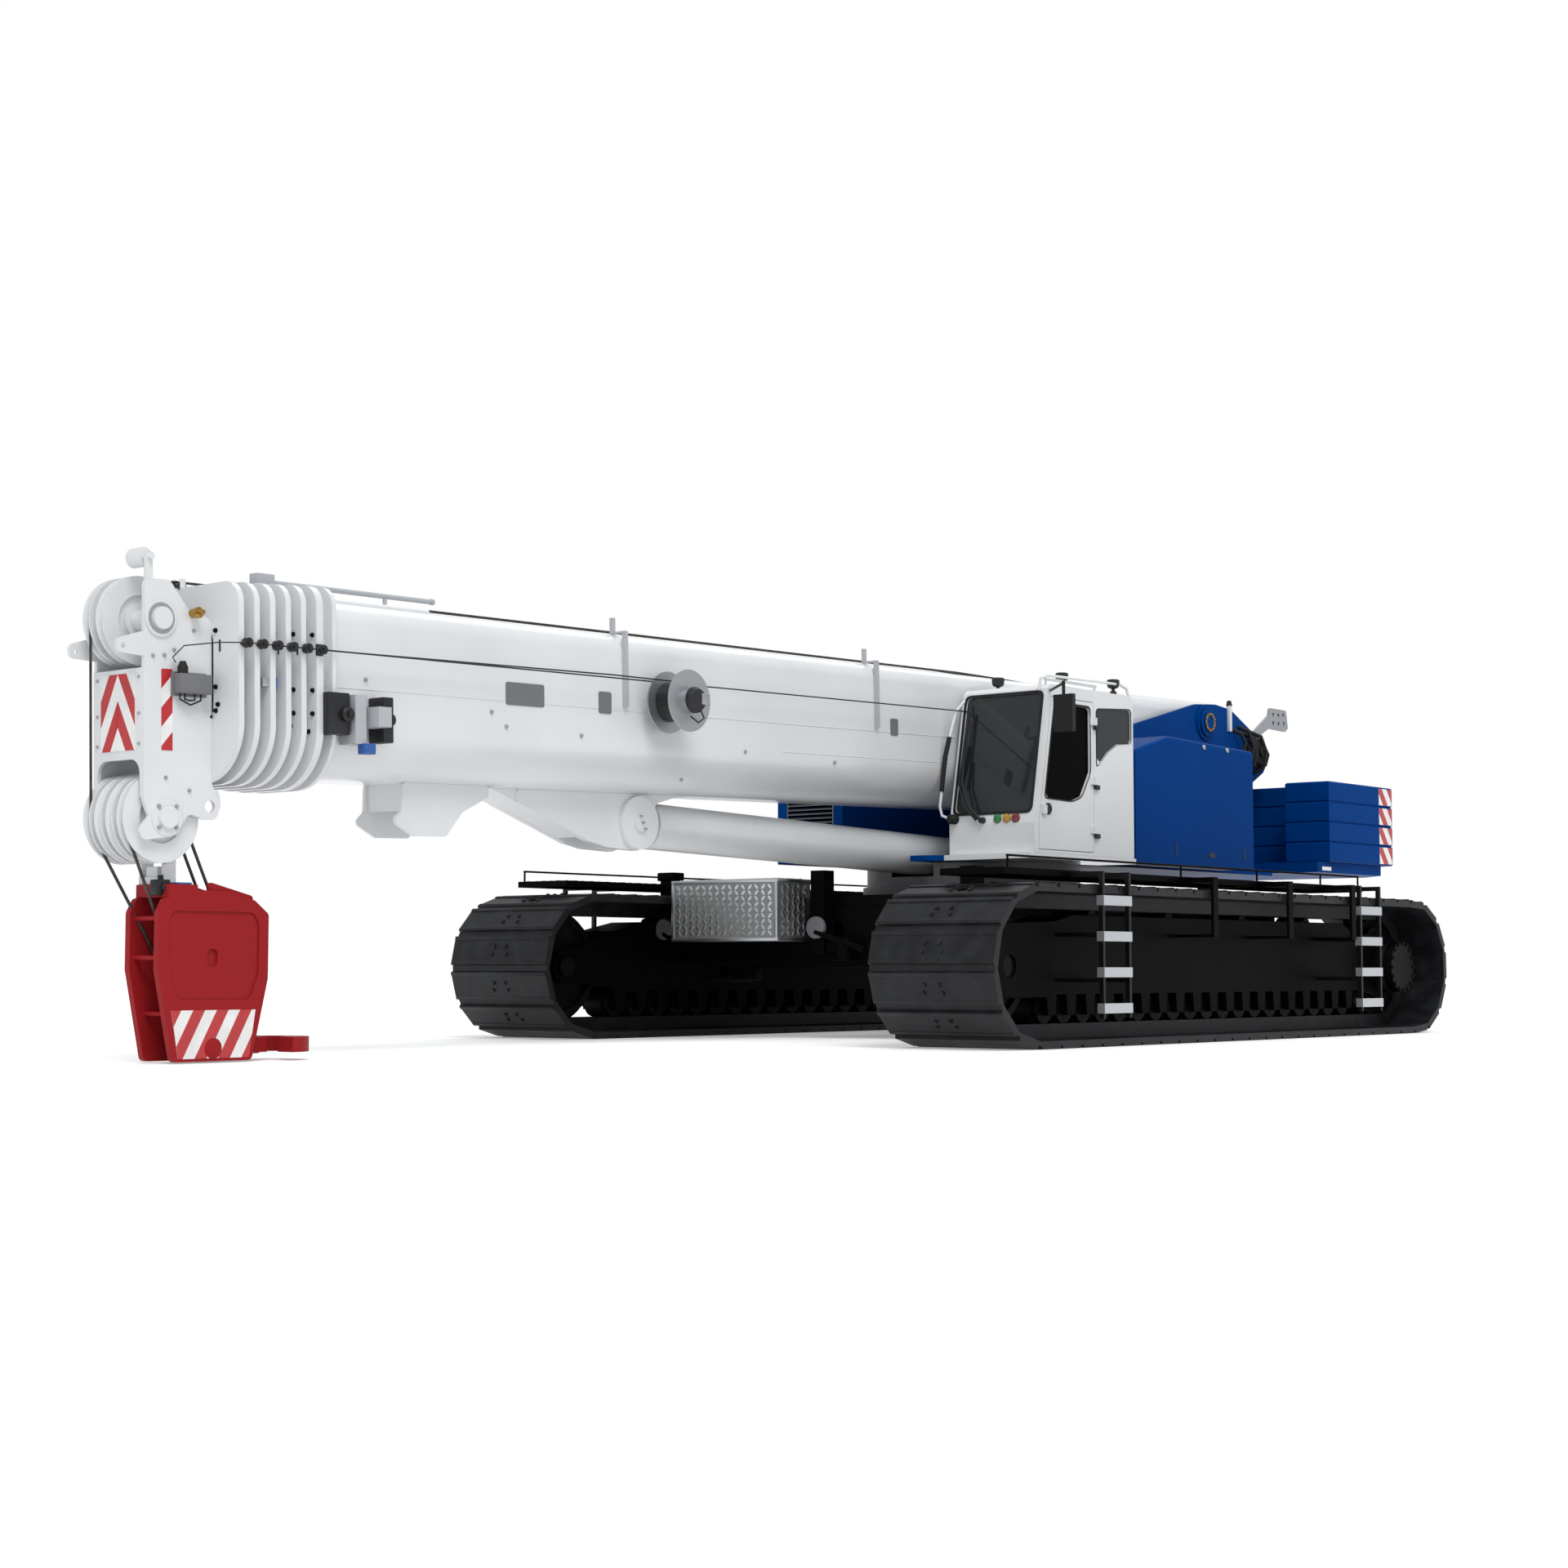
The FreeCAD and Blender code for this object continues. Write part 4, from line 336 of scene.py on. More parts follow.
def two_tone(name, first, second, bands, metallic=0.0):
    """Two coatings on one piece, parted along planes of the crane's frame. A band is an axis, where
    its pattern starts and repeats (or 0), a test and its value; the second coating lies where every
    band's test holds."""
    made, tree, shader = new_finish(name, first, roughness=0.4, Specular_IOR_Level=0.3)
    axes = add_node(tree, "ShaderNodeSeparateXYZ", Vector=place(tree))
    mask = None
    for axis, start, pitch, test, value in bands:
        held = axes.outputs[axis]
        if pitch:
            lift = add_node(tree, "ShaderNodeMath", {"operation": "SUBTRACT", 0: held, 1: start})
            held = add_node(tree, "ShaderNodeMath", {"operation": "PINGPONG", 0: lift.outputs[0],
                                                     1: pitch / 2}).outputs[0]
        size = add_node(tree, "ShaderNodeMath", {"operation": "ABSOLUTE", 0: held})
        asked = add_node(tree, "ShaderNodeMath", {"operation": test, 0: size.outputs[0], 1: value})
        if mask is not None:
            asked = add_node(tree, "ShaderNodeMath", {"operation": "MULTIPLY", 0: mask, 1: asked.outputs[0]})
        mask = asked.outputs[0]
    ramp = add_node(tree, "ShaderNodeValToRGB", Fac=mask)
    ramp.color_ramp.elements[0].color = (*first, 1)
    ramp.color_ramp.elements[1].color = (*second, 1)
    tree.links.new(ramp.outputs[0], shader.inputs["Base Color"])
    for socket, low, high in (("Metallic", 0.0, metallic), ("Roughness", 0.42, 0.34)):
        spread = add_node(tree, "ShaderNodeMapRange", {"To Min": low, "To Max": high}, Value=mask)
        tree.links.new(spread.outputs[0], shader.inputs[socket])
    peel = add_node(tree, "ShaderNodeTexNoise", {"Scale": 60.0, "Detail": 2.0}, Vector=place(tree))
    bump(tree, shader, peel.outputs[0], 0.0004, 0.003)
    return made


FINISHES = {}


def make_finishes(paint):
    """Every finish of the crane, by a plain short name."""
    white, blue, red, black = (tuple(c) for c in (paint.white, paint.blue, paint.red, paint.black))
    FINISHES.update({
        # enamel: smooth even colour; glossier on sheet metal, flatter on the dark and strong colours
        "white": sprayed_enamel("Polyurethane enamel, sprayed white", white, 0.3, 0.4),
        "cab_white": sprayed_enamel("Polyurethane enamel, sprayed white on sheet", white, 0.24, 0.55),
        "blue": sprayed_enamel("Polyurethane enamel, sprayed blue", blue, 0.4, 0.0, 0.02),
        "red": sprayed_enamel("Polyurethane enamel, sprayed red", red, 0.4, 0.0, 0.12),
        "black": sprayed_enamel("Chassis enamel, sprayed black", black, 0.42, 0.0, 0.03),
        "grey_steel": sprayed_enamel("Machinery enamel, sprayed grey", linear("#76777B"), 0.42, 0.0, 0.2),
        "pale_steel": sprayed_enamel("Primer enamel, sprayed pale grey", linear("#B4B7BB"), 0.42, 0.0, 0.3),
        # cast steel: dark and dull, with lighter rubbed patches; the mud holes' near black is painted shade
        "shoe": cast_steel("Manganese steel, cast and worn", linear("#121316"), linear("#25272A"), 0.35),
        "roller": cast_steel("Roller steel, forged and painted", linear("#0A0A0C"), linear("#17181A"), 0.1),
        # painted shade: near black standing for the shade inside a shoe's mud hole
        "painted_hole_shade": cast_steel("Painted shade of a shoe's mud hole", linear("#000000"), linear("#020202"), 0.02),
        "engine": cast_steel("Cast iron, painted grey", linear("#3C3F42"), linear("#5A5D60")),
        # enamelled stiles with bright rungs 80 mm high, proud of the stiles' inner face
        "ladder": two_tone("Aluminium rungs, extruded, on enamelled stiles", black, linear("#C6C9CC"),
                           ((2, RUNG_MID_Z, RUNG_PITCH, "LESS_THAN", 0.0405),
                            (1, 0, 0, "GREATER_THAN", RUNG_FACE_Y)), 0.7),
        # black mirror arm outside, white roof rail inside
        "cab_rails": two_tone("Enamelled roof rail and black mirror arm", linear("#121314"), white,
                              ((1, 0, 0, "LESS_THAN", RAIL_SPLIT_Y),)),
        # bare metals: from oiled grey to mirror bright
        "ring": metal("Ring steel, machined and oiled", linear("#5B5C5E"), 0.38),
        "pin": metal("Pin steel, turned", linear("#A9ABAD"), 0.3, 20),
        "chrome": metal("Hard chrome, plated and ground", linear("#D9DCDF"), 0.1, 60),
        "rung": metal("Aluminium, extruded and anodised", linear("#C9CBCD"), 0.35, 15, (1, 12, 12)),
        "plate": metal("Aluminium tread plate, rolled", linear("#A4A5A6"), 0.6, 25),
        # the studs are lighter than the plate: a painted highlight on their raised tops
        "stud": metal("Aluminium tread studs, painted highlight", linear("#E6E7E7"), 0.3, 15),
        "zinc": metal("Zinc plate, passivated", linear("#B0B3B6"), 0.5, 40),
        "brass": metal("Brass, turned", linear("#B08A4A"), 0.25, 20),
        "grille": metal("Steel mesh, woven and galvanised", linear("#77797B"), 0.5, 40),
        # glass: dark and clean, nearly black in the door
        "glass": tinted_glass("Safety glass, toughened and tinted", linear("#3A3F42"), 0.6, 0.6),
        "dark_glass": tinted_glass("Safety glass, dark tinted", linear("#040405"), 0.08, 0.01),
        # plastic and rubber: dull, the cable a little smoother
        "plastic": moulded("Polyamide, moulded black", linear("#17181A"), 0.5, 6, 0.0004),
        "rubber": moulded("Rubber, moulded", linear("#121213"), 0.75, 8, 0.0006),
        "console": moulded("ABS, moulded grey", linear("#3A3C3F"), 0.55, 5, 0.0004),
        "cable": moulded("Cable sheath, extruded black", linear("#161616"), 0.45, 5, 0.0002),
        "socket_blue": moulded("Polyamide, moulded blue", linear("#2F5FA8"), 0.45, 6, 0.0003),
        "cloth": woven_cloth("Polyester seat cloth, woven", linear("#2A2B2E")),
        "rope": laid_rope("Wire rope, laid and greased", linear("#3B3A38")),
        # lamps and film: clear strong colours
        "green": lens("Acrylic lens, moulded green", linear("#1F7A34")),
        "amber": lens("Acrylic lens, moulded amber", linear("#B98A17")),
        "maroon": lens("Acrylic lens, moulded maroon", linear("#7E1B22")),
        "film_red": film("Retroreflective film, red", tuple(paint.stripe_red)),
        "film_white": film("Retroreflective film, white", linear("#F0F0EE")),
    })


# Building shapes
def oblong(a0, a1, b0, b1):
    """Corners of an upright oblong in its own plane."""
    return [(a0, b0), (a1, b0), (a1, b1), (a0, b1)]


def cut_by(ring, a, b, c):
    """The part of a flat polygon (x, y) where a x + b y >= c."""
    out = []
    for i, p in enumerate(ring):
        q = ring[(i + 1) % len(ring)]
        dp, dq = a * p[0] + b * p[1] - c, a * q[0] + b * q[1] - c
        if dp >= 0:
            out.append(p)
        if (dp >= 0) != (dq >= 0):
            t = dp / (dp - dq)
            out.append((p[0] + (q[0] - p[0]) * t, p[1] + (q[1] - p[1]) * t))
    return out


class Form:
    """Collects the solids of one piece."""

    def __init__(self):
        self.bm = bmesh.new()

    def prism(self, ring, push, bevel=0.0, slot=0):
        """A closed ring of corners, pushed along a vector, with bevelled edges."""
        push = Vector(push)
        low = [self.bm.verts.new(Vector(p)) for p in ring]
        top = [self.bm.verts.new(Vector(p) + push) for p in ring]
        faces = [self.bm.faces.new(low[::-1]), self.bm.faces.new(top)]
        n = len(ring)
        faces += [self.bm.faces.new((low[i], low[(i + 1) % n], top[(i + 1) % n], top[i])) for i in range(n)]
        for f in faces:
            f.material_index = slot
        if bevel:
            edges = list({e for f in faces for e in f.edges})
            bmesh.ops.bevel(self.bm, geom=edges, offset=bevel, segments=2, affect="EDGES", profile=0.5)
        return self

    def slab(self, low, high, bevel=0.0):
        """A block between two corners."""
        (x0, y0, z0), (x1, y1, z1) = low, high
        return self.prism([(x, y, z0) for x, y in oblong(x0, x1, y0, y1)], (0, 0, z1 - z0), bevel)

    def boom_slab(self, u, y, v, bevel=0.0):
        """A block in the boom's own directions; u, y and v are pairs."""
        return self.prism([boom(a, b, v[0]) for a, b in oblong(*u, *y)], UPWARD * (v[1] - v[0]), bevel)

    def ring(self, centre, side, other, radius, sides):
        """Corners round a centre; side and other are the two ways square to the axis."""
        return [self.bm.verts.new(centre + (side * cos(a) + other * sin(a)) * radius)
                for a in (2 * pi * i / sides for i in range(sides))]

    def skin(self, rings):
        """Caps on the end rings and a wall from each ring to the next."""
        sides = len(rings[0])
        self.bm.faces.new(rings[0][::-1])
        self.bm.faces.new(rings[-1])
        for one, two in zip(rings, rings[1:]):
            for i in range(sides):
                j = (i + 1) % sides
                self.bm.faces.new((one[i], one[j], two[j], two[i]))
        return self

    def lathe(self, start, direction, profile, sides=24):
        """A turned shape; the profile's columns are distance along the axis and radius."""
        axis = Vector(direction).normalized()
        side = axis.orthogonal().normalized()
        return self.skin([self.ring(Vector(start) + axis * reach, side, axis.cross(side),
                                    max(radius, 1e-4), sides) for reach, radius in profile])

    def bolts(self, places, out, width):
        """Hexagon heads, each on its washer."""
        h = width * 0.6
        for at in places:
            self.lathe(at, out, [(-0.002, width * 0.62), (h * 0.25, width * 0.62), (h * 0.26, width / 2),
                                 (h * 0.85, width / 2), (h, width * 0.42)], 6)
        return self

    def tube(self, line, radius, sides=8):
        """A round bar or rope swept along a line of points."""
        pts = [Vector(p) for p in line]
        rings, side = [], None
        for i, p in enumerate(pts):
            way = (pts[min(i + 1, len(pts) - 1)] - pts[max(i - 1, 0)]).normalized()
            side = (side - way * side.dot(way) if side else way.orthogonal()).normalized()
            rings.append(self.ring(p, side, way.cross(side), radius, sides))
        return self.skin(rings)

    def band(self, inner, outer, push):
        """A flat closed band between two rows of points, pushed along a vector."""
        push = Vector(push)
        rows = [[self.bm.verts.new(Vector(p) + q) for p in row]
                for row, q in ((inner, push * 0), (outer, push * 0), (outer, push), (inner, push))]
        for one, two in zip(rows, rows[1:] + rows[:1]):
            for i in range(len(inner)):
                j = (i + 1) % len(inner)
                self.bm.faces.new((one[i], one[j], two[j], two[i]))
        return self

    def hazard(self, ring, point, out, width, slope, shift=0.0):
        """White film over a flat outline with slanting red stripes just proud of it.
        The outline is in its own plane, which point() places; out is the way that it faces."""
        thick, raised = 0.003, 0.0006
        out = Vector(out).normalized()
        self.prism([point(x, y) for x, y in ring], out * thick)
        length = (1 + slope * slope) ** 0.5
        values = [(slope * x + y) / length for x, y in ring]
        k = int(min(values) / (2 * width)) - 2
        while k * 2 * width < max(values) + 2 * width:
            start = k * 2 * width + shift
            stripe = cut_by(ring, slope / length, 1 / length, start)
            if len(stripe) > 2:
                stripe = cut_by(stripe, -slope / length, -1 / length, -(start + width))
            if len(stripe) > 2:
                self.prism([point(x, y) + out * thick for x, y in stripe], out * raised, slot=1)
            k += 1
        return self

    def piece(self, name, body, *finishes, blend=None):
        """Makes the object, with its finishes, on the body that carries it; given blend, its transform is
        baked and it goes on no body.
        """
        bmesh.ops.recalc_face_normals(self.bm, faces=self.bm.faces)
        made = new_object(name, self.bm, finishes)
        made.data.set_sharp_from_angle(angle=radians(35))
        if blend:
            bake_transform(made)
        else:
            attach(made, body)
        return made


def new_object(name, bm, finishes):
    """A smooth-shaded object from a finished set of faces."""
    mesh = bpy.data.meshes.new(name)
    bm.to_mesh(mesh)
    bm.free()
    mesh.polygons.foreach_set("use_smooth", [True] * len(mesh.polygons))
    for finish in finishes:
        mesh.materials.append(FINISHES[finish])
    made = bpy.data.objects.new(name, mesh)
    bpy.context.scene.collection.objects.link(made)
    return made


def arc(centre, radius, first, last, steps, point):
    """Points round a centre (a, b), between two angles in degrees, through a placing function."""
    angles = [radians(first + (last - first) * i / steps) for i in range(steps + 1)]
    return [point(centre[0] + radius * cos(a), centre[1] + radius * sin(a)) for a in angles]


def rounded_ring(corners, radius, steps=5):
    """A flat outline with its corners rounded."""
    out = []
    for i, c in enumerate(corners):
        c, p, q = Vector(c), Vector(corners[i - 1]), Vector(corners[(i + 1) % len(corners)])
        one, two = (p - c).normalized(), (q - c).normalized()
        reach = min(radius, (p - c).length * 0.45, (q - c).length * 0.45)
        for k in range(steps + 1):
            t = k / steps
            out.append(tuple(c + one * reach * (1 - t) ** 2 + two * reach * t * t))
    return out


def cushion(name, centre, half, thin, lean=0.0):
    """A seat pad: crowned on its free side, flat where it rests, its sides pulled in between the
    corners, with a welt round its edge and two sewn channels. thin is the axis of its thickness."""
    wide, deep = [i for i in range(3) if i != thin]
    bm = bmesh.new()
    bmesh.ops.create_cube(bm, size=2)
    bmesh.ops.subdivide_edges(bm, edges=bm.edges[:], cuts=15, use_grid_fill=True)
    for v in bm.verts:
        a, b, c = v.co[wide], v.co[deep], v.co[thin]
        crown = (1 - abs(a) ** 3) * (1 - abs(b) ** 3)
        height = c * (0.62 + 0.38 * crown) if c > 0 else c * (0.9 + 0.1 * crown)
        if c > 0.9:
            for line in (-0.42, 0.42):
                height -= 0.22 * exp(-((b - line) / 0.055) ** 2) * crown
        welt = 0.018 * exp(-(c / 0.12) ** 2) if max(abs(a), abs(b)) > 0.99 else 0.0
        pull_a, pull_b = 1 - 0.045 * (1 - b * b) + welt, 1 - 0.045 * (1 - a * a) + welt
        place_at = [0.0, 0.0, 0.0]
        place_at[wide], place_at[deep], place_at[thin] = a * pull_a, b * pull_b, height
        v.co = Vector([centre[i] + place_at[i] * half[i] for i in range(3)])
        v.co.x += lean * (centre.z - v.co.z)
    made = new_object(name, bm, ["cloth"])
    smooth = made.modifiers.new("soft surface", "SUBSURF")
    smooth.levels = smooth.render_levels = 1
    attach(made, "superstructure")
    return made


def section(k):
    """The body that carries the k-th collar, the base's being 0."""
    return "tele_%d" % k if k else "boom"


def middle(name):
    """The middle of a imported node's box, on the crane's middle plane."""
    low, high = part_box(name)
    return Vector(((low.x + high.x) / 2, 0, (low.z + high.z) / 2))


class Step:
    """What every operator of the crane shares."""
    bl_options = {"REGISTER", "UNDO"}

    def execute(self, context):
        self.make(context.scene.crane_sizes, context.scene.crane_paint)
        return {"FINISHED"}


# Finish of the CAD nodes: finish, then the nodes that have it
NODE_FINISHES = (
    ("black", ("carbody", "track_frame_l", "track_frame_r", "walkway_l", "walkway_r", "jack_posts")),
    ("shoe", ("track_loop_l", "track_loop_r")),
    ("roller", ("rollers_l", "rollers_r", "idler_l", "idler_r", "sprocket_l", "sprocket_r")),
    ("ladder", ("ladders_l", "ladders_r")),
    ("plate", ("step_box",)),
    ("ring", ("slew_ring_lower", "slew_ring_upper")),
    ("blue", ("turntable_frame", "house_left", "hood_right", "counterweight_tray", "counterweight_slabs",
              "boom_pin")),
    ("zinc", ("rear_bracket", "cable_reel")),
    ("pale_steel", ("rope_guides", "sensor_unit")),
    ("grille", ("grille_right",)),
    ("engine", ("engine",)),
    ("cab_white", ("cab_shell", "cab_door", "cab_deck")),
    ("white", ("boom_base", "luff_gusset", "rest_bracket", "tele_1", "tele_2", "tele_3", "tele_4", "tele_5",
               "boom_head", "luff_barrel", "sheaves_upper", "sheaves_lower", "hook_hanger")),
    ("pin", ("luff_pin",)),
    ("chrome", ("luff_rod",)),
    ("cab_rails", ("cab_rails",)),
    ("plastic", ("door_hinges", "winch_drum")),
    ("glass", ("cab_glass",)),
    ("dark_glass", ("door_glass",)),
    ("cloth", ("operator_seat",)),
    ("console", ("cab_console",)),
    ("red", ("hook_block", "crane_hook")),
    ("roller", ("block_sheaves",)),
)


class CRANE_OT_paint(Step, bpy.types.Operator):
    """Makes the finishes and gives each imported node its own"""
    bl_idname = "crane.paint"
    bl_label = "Paint the Packed Nodes"

    def make(self, sizes, paint):
        make_finishes(paint)
        for finish, names in NODE_FINISHES:
            for name in names:
                node = frame["nodes"][name]
                if not node.material_slots:
                    node.data.materials.append(FINISHES[finish])
                for one in node.material_slots:
                    one.material = FINISHES[finish]


class CRANE_OT_hoist_rope(Step, bpy.types.Operator):
    """The hoist rope: along the boom, over the head's sheaves and down to the hook block"""
    bl_idname = "crane.hoist_rope"
    bl_label = "Hoist Rope"

    def make(self, sizes, paint):
        r = sizes.hoist_rope / 2
        groove, wrap = SHEAVE_GROOVE + r, BLOCK_GROOVE + r

        def run(k):
            """A section's run, from just ahead of the collar behind it to its own collar."""
            start = COLLAR_U[max(k - 1, 0)] - TRAVEL + ROPE_LAP
            return [boom(start, ROPE_Y, ROPE_V - ROPE_DIP), boom(start + ROPE_RISE, ROPE_Y, ROPE_V),
                    boom(COLLAR_U[k], ROPE_Y, ROPE_V)]

        low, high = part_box("winch_drum")
        leaves = middle("winch_drum") + Vector((0.02, ROPE_Y, (high.z - low.z) / 2 - 0.045))
        foot = boom(ROPE_FOOT[0], ROPE_Y, ROPE_FOOT[1])
        Form().tube([leaves, foot, *run(0)], r).piece("hoist_rope_base", "boom", "rope")
        for k in range(1, SECTIONS + 1):
            line = run(k)
            if k == SECTIONS:
                line += arc(UPPER_SHAFT, groove, 98, -2, 14, lambda u, v: boom(u, ROPE_Y, v))
                line.append(boom(LOWER_SHAFT[0] + groove, FALL_Y[0][0], LOWER_SHAFT[1]))
            Form().tube(line, r - 0.0004 * k).piece("hoist_rope_%d" % k, section(k), "rope")
        # guide roller on the last collar, where the rope turns down to the sheave
        u = COLLAR_U[SECTIONS] - COLLAR_MID
        form = Form()
        for y in (ROPE_Y - 0.050, ROPE_Y + 0.040):
            form.boom_slab((u - 0.025, u + 0.022), (y, y + 0.010), (0.08, ROPE_V + 0.02), 0.003)
        form.piece("rope_guide_forks", "tele_5", "white")
        Form().lathe(boom(u, ROPE_Y - 0.046, ROPE_V - r - 0.022), ACROSS,
                     [(0, 0.034), (0.012, 0.034), (0.030, 0.0215), (0.062, 0.0215), (0.080, 0.034),
                      (0.092, 0.034)], 20).piece("rope_guide_roller", "tele_5", "plastic")
        # the falls between the lower sheaves and the block's
        lower, block = boom(LOWER_SHAFT[0], 0, LOWER_SHAFT[1]), middle("block_sheaves")
        way = (block - lower).normalized()
        side = Vector((-way.z, 0, way.x))
        fall = degrees(atan2(side.dot(UPWARD), side.dot(ALONG)))    # where a front fall leaves its sheave
        for name, s, (y0, y1) in zip("abcd", (1, -1, 1, -1), FALL_Y):
            start = lower + side * s * groove + ACROSS * y0
            end = block + side * s * wrap + ACROSS * y1
            line = [start + (end - start) * i / 12 for i in range(13)]
            line += [block + (side * s * cos(a) + way * sin(a)) * wrap + ACROSS * y1
                     for a in (radians(15 * i) for i in range(1, 7))]
            Form().tube(line, r).piece("hoist_fall_" + name, None, "rope",
                                       blend=("hook_hanger", "hook_block", tuple(start), tuple(end)))
        # the parts that lie in the lower sheaves' grooves
        form = Form()
        for (y, _), first, last in zip(FALL_Y, (0, 180 + fall, 125, 180 + fall), (fall, 90, fall, 90)):
            form.tube(arc(LOWER_SHAFT, groove, first, last, 16, lambda u, v: boom(u, y, v)), r)
        form.piece("hoist_rope_over_head", "tele_5", "rope")


class CRANE_OT_signal_cable(Step, bpy.types.Operator):
    """The thin cable that runs from the reel past each collar's roller to the head"""
    bl_idname = "crane.signal_cable"
    bl_label = "Signal Cable"

    def make(self, sizes, paint):
        r = sizes.signal_cable / 2
        y, v = CABLE_Y, CABLE_V
        Form().tube([boom(REEL_U, 0.72, REEL_V + REEL_R), boom(9.2, 0.70, v + 0.01), boom(11.7, y, v),
                     boom(COLLAR_U[0], y, v)], r).piece("signal_cable_base", "boom", "cable")
        for k in range(1, SECTIONS + 1):
            line = [boom(COLLAR_U[k] - TRAVEL - 0.1, y, v), boom(COLLAR_U[k], y, v)]
            if k == SECTIONS:
                line += [boom(12.80, 0.50, v), boom(12.95, 0.34, v - 0.02), boom(13.02, 0.31, v - 0.10),
                         boom(13.02, 0.34, -0.26)]
            Form().tube(line, r - 0.0003 * k).piece("signal_cable_%d" % k, section(k), "cable")
        for k, front in enumerate(COLLAR_U):
            u, out = front - COLLAR_MID, COLLAR_OUT_Y - COLLAR_STEP * k
            form = Form().lathe(boom(u, out - 0.003, v), ACROSS, [(0, 0.012), (y - out + 0.035, 0.012)], 12)
            form.lathe(boom(u, y - 0.022, v), ACROSS, [(0, 0.034), (0.005, 0.034), (0.014, 0.022),
                                                       (0.030, 0.022), (0.039, 0.034), (0.044, 0.034)], 20)
            form.boom_slab((u - 0.03, u + 0.03), (out - 0.002, out + 0.010), (v - 0.04, v + 0.04), 0.002)
            form.piece("cable_roller_%d" % k, section(k), "plastic")


class CRANE_OT_stripes(Step, bpy.types.Operator):
    """Red and white hazard film on the head, the counterweight and the hook block"""
    bl_idname = "crane.stripes"
    bl_label = "Hazard Stripes"

    def make(self, sizes, paint):
        w, tape = sizes.stripe, ("film_white", "film_red")
        # head: two half panels whose stripes meet in a chevron pointing up, then the side panel
        form = Form()
        for y0, y1, slope in ((-0.185, 0.0, -1.9), (0.0, 0.185, 1.9)):
            form.hazard(oblong(y0, y1, -0.84, -0.33), lambda y, v: boom(HEAD_FRONT_U + PROUD, y, v), ALONG,
                        w * 0.82, slope, 0.01)
        form.piece("head_chevrons", "tele_5", *tape)
        form = Form().hazard(oblong(12.995, 13.085, -0.84, -0.30),
                             lambda u, v: boom(u, HEAD_HALF_Y + PROUD, v), ACROSS, w * 0.85, 1.1, 0.04)
        form.piece("head_side_stripes", "tele_5", *tape)
        # both sides of each slab; the shift, z0 over the length of (1, -1.25), starts them all alike
        low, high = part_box("counterweight_slabs")
        form = Form()
        step = (high.z - low.z) / SLABS
        for k in range(SLABS):
            z0, z1 = low.z + step * k + 0.016, low.z + step * (k + 1) - 0.017
            for s in (1, -1):
                form.hazard(oblong(0, 0.30, z0, z1),
                            lambda x, z: Vector((low.x + 0.275 + x, s * (high.y + PROUD), z)),
                            ACROSS * s, w * 0.9, -1.25, (z0 * 0.6247 + 0.022) % (w * 1.8))
        form.piece("counterweight_stripes", "superstructure", *tape)
        low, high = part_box("hook_block")
        mid, foot, top = (low.x + high.x) / 2, low.z + 0.02, low.z + 0.34
        ring = [(mid - 0.300, foot), (mid + 0.285, foot), (mid + 0.345, top), (mid - 0.350, top)]
        form, caps = Form(), Form()
        for y, s in ((high.y, 1), (low.y, -1)):
            form.hazard(ring, lambda x, z: Vector((x, y + s * PROUD, z)), ACROSS * s, w * 0.85, 1.8)
            caps.lathe((mid, y - 0.002 * s, low.z + 0.085), ACROSS * s,
                       [(0, 0.07), (0.008, 0.07), (0.012, 0.064)], 28)
        form.piece("hook_block_stripes", "hook_block", *tape)
        caps.piece("hook_block_caps", "hook_block", "red")


class CRANE_OT_hook_fittings(Step, bpy.types.Operator):
    """Limit switch, cover and bolts of the hook block's hanger, and the block's blue pad"""
    bl_idname = "crane.hook_fittings"
    bl_label = "Hook Fittings"

    def make(self, sizes, paint):
        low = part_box("hook_hanger")[0]
        x, z = low.x + 0.075, low.z
        form = Form().slab((x + 0.005, 0.08, z - 0.075), (x + 0.105, 0.172, z + 0.03), 0.008)
        form.slab((x + 0.03, 0.10, z + 0.028), (x + 0.06, 0.13, z + 0.06), 0.004)
        form.lathe((x + 0.055, 0.170, z - 0.025), ACROSS, [(0, 0.028), (0.02, 0.028), (0.026, 0.020)], 14)
        form.piece("hanger_switch_box", "hook_hanger", "plastic")
        form = Form().slab((x - 0.12, 0.150, z + PROUD), (x - 0.005, 0.236, z + 0.012), 0.002)
        form.piece("hook_block_pad", "hook_block", "socket_blue")
        form = Form().slab((x - 0.030, 0.1335, z + 0.14), (x + 0.030, 0.165, z + 0.36), 0.006)
        form.slab((x - 0.022, 0.160, z + 0.22), (x + 0.022, 0.190, z + 0.30), 0.004)
        form.piece("hanger_cover", "hook_hanger", "cab_white")
        form = Form()
        for s in (-1, 1):
            form.bolts([(x + 0.03, s * 0.134, z + 0.15), (x - 0.02, s * 0.134, z + 0.21)], ACROSS * s, 0.03)
        form.piece("hanger_bolts", "hook_hanger", "zinc")


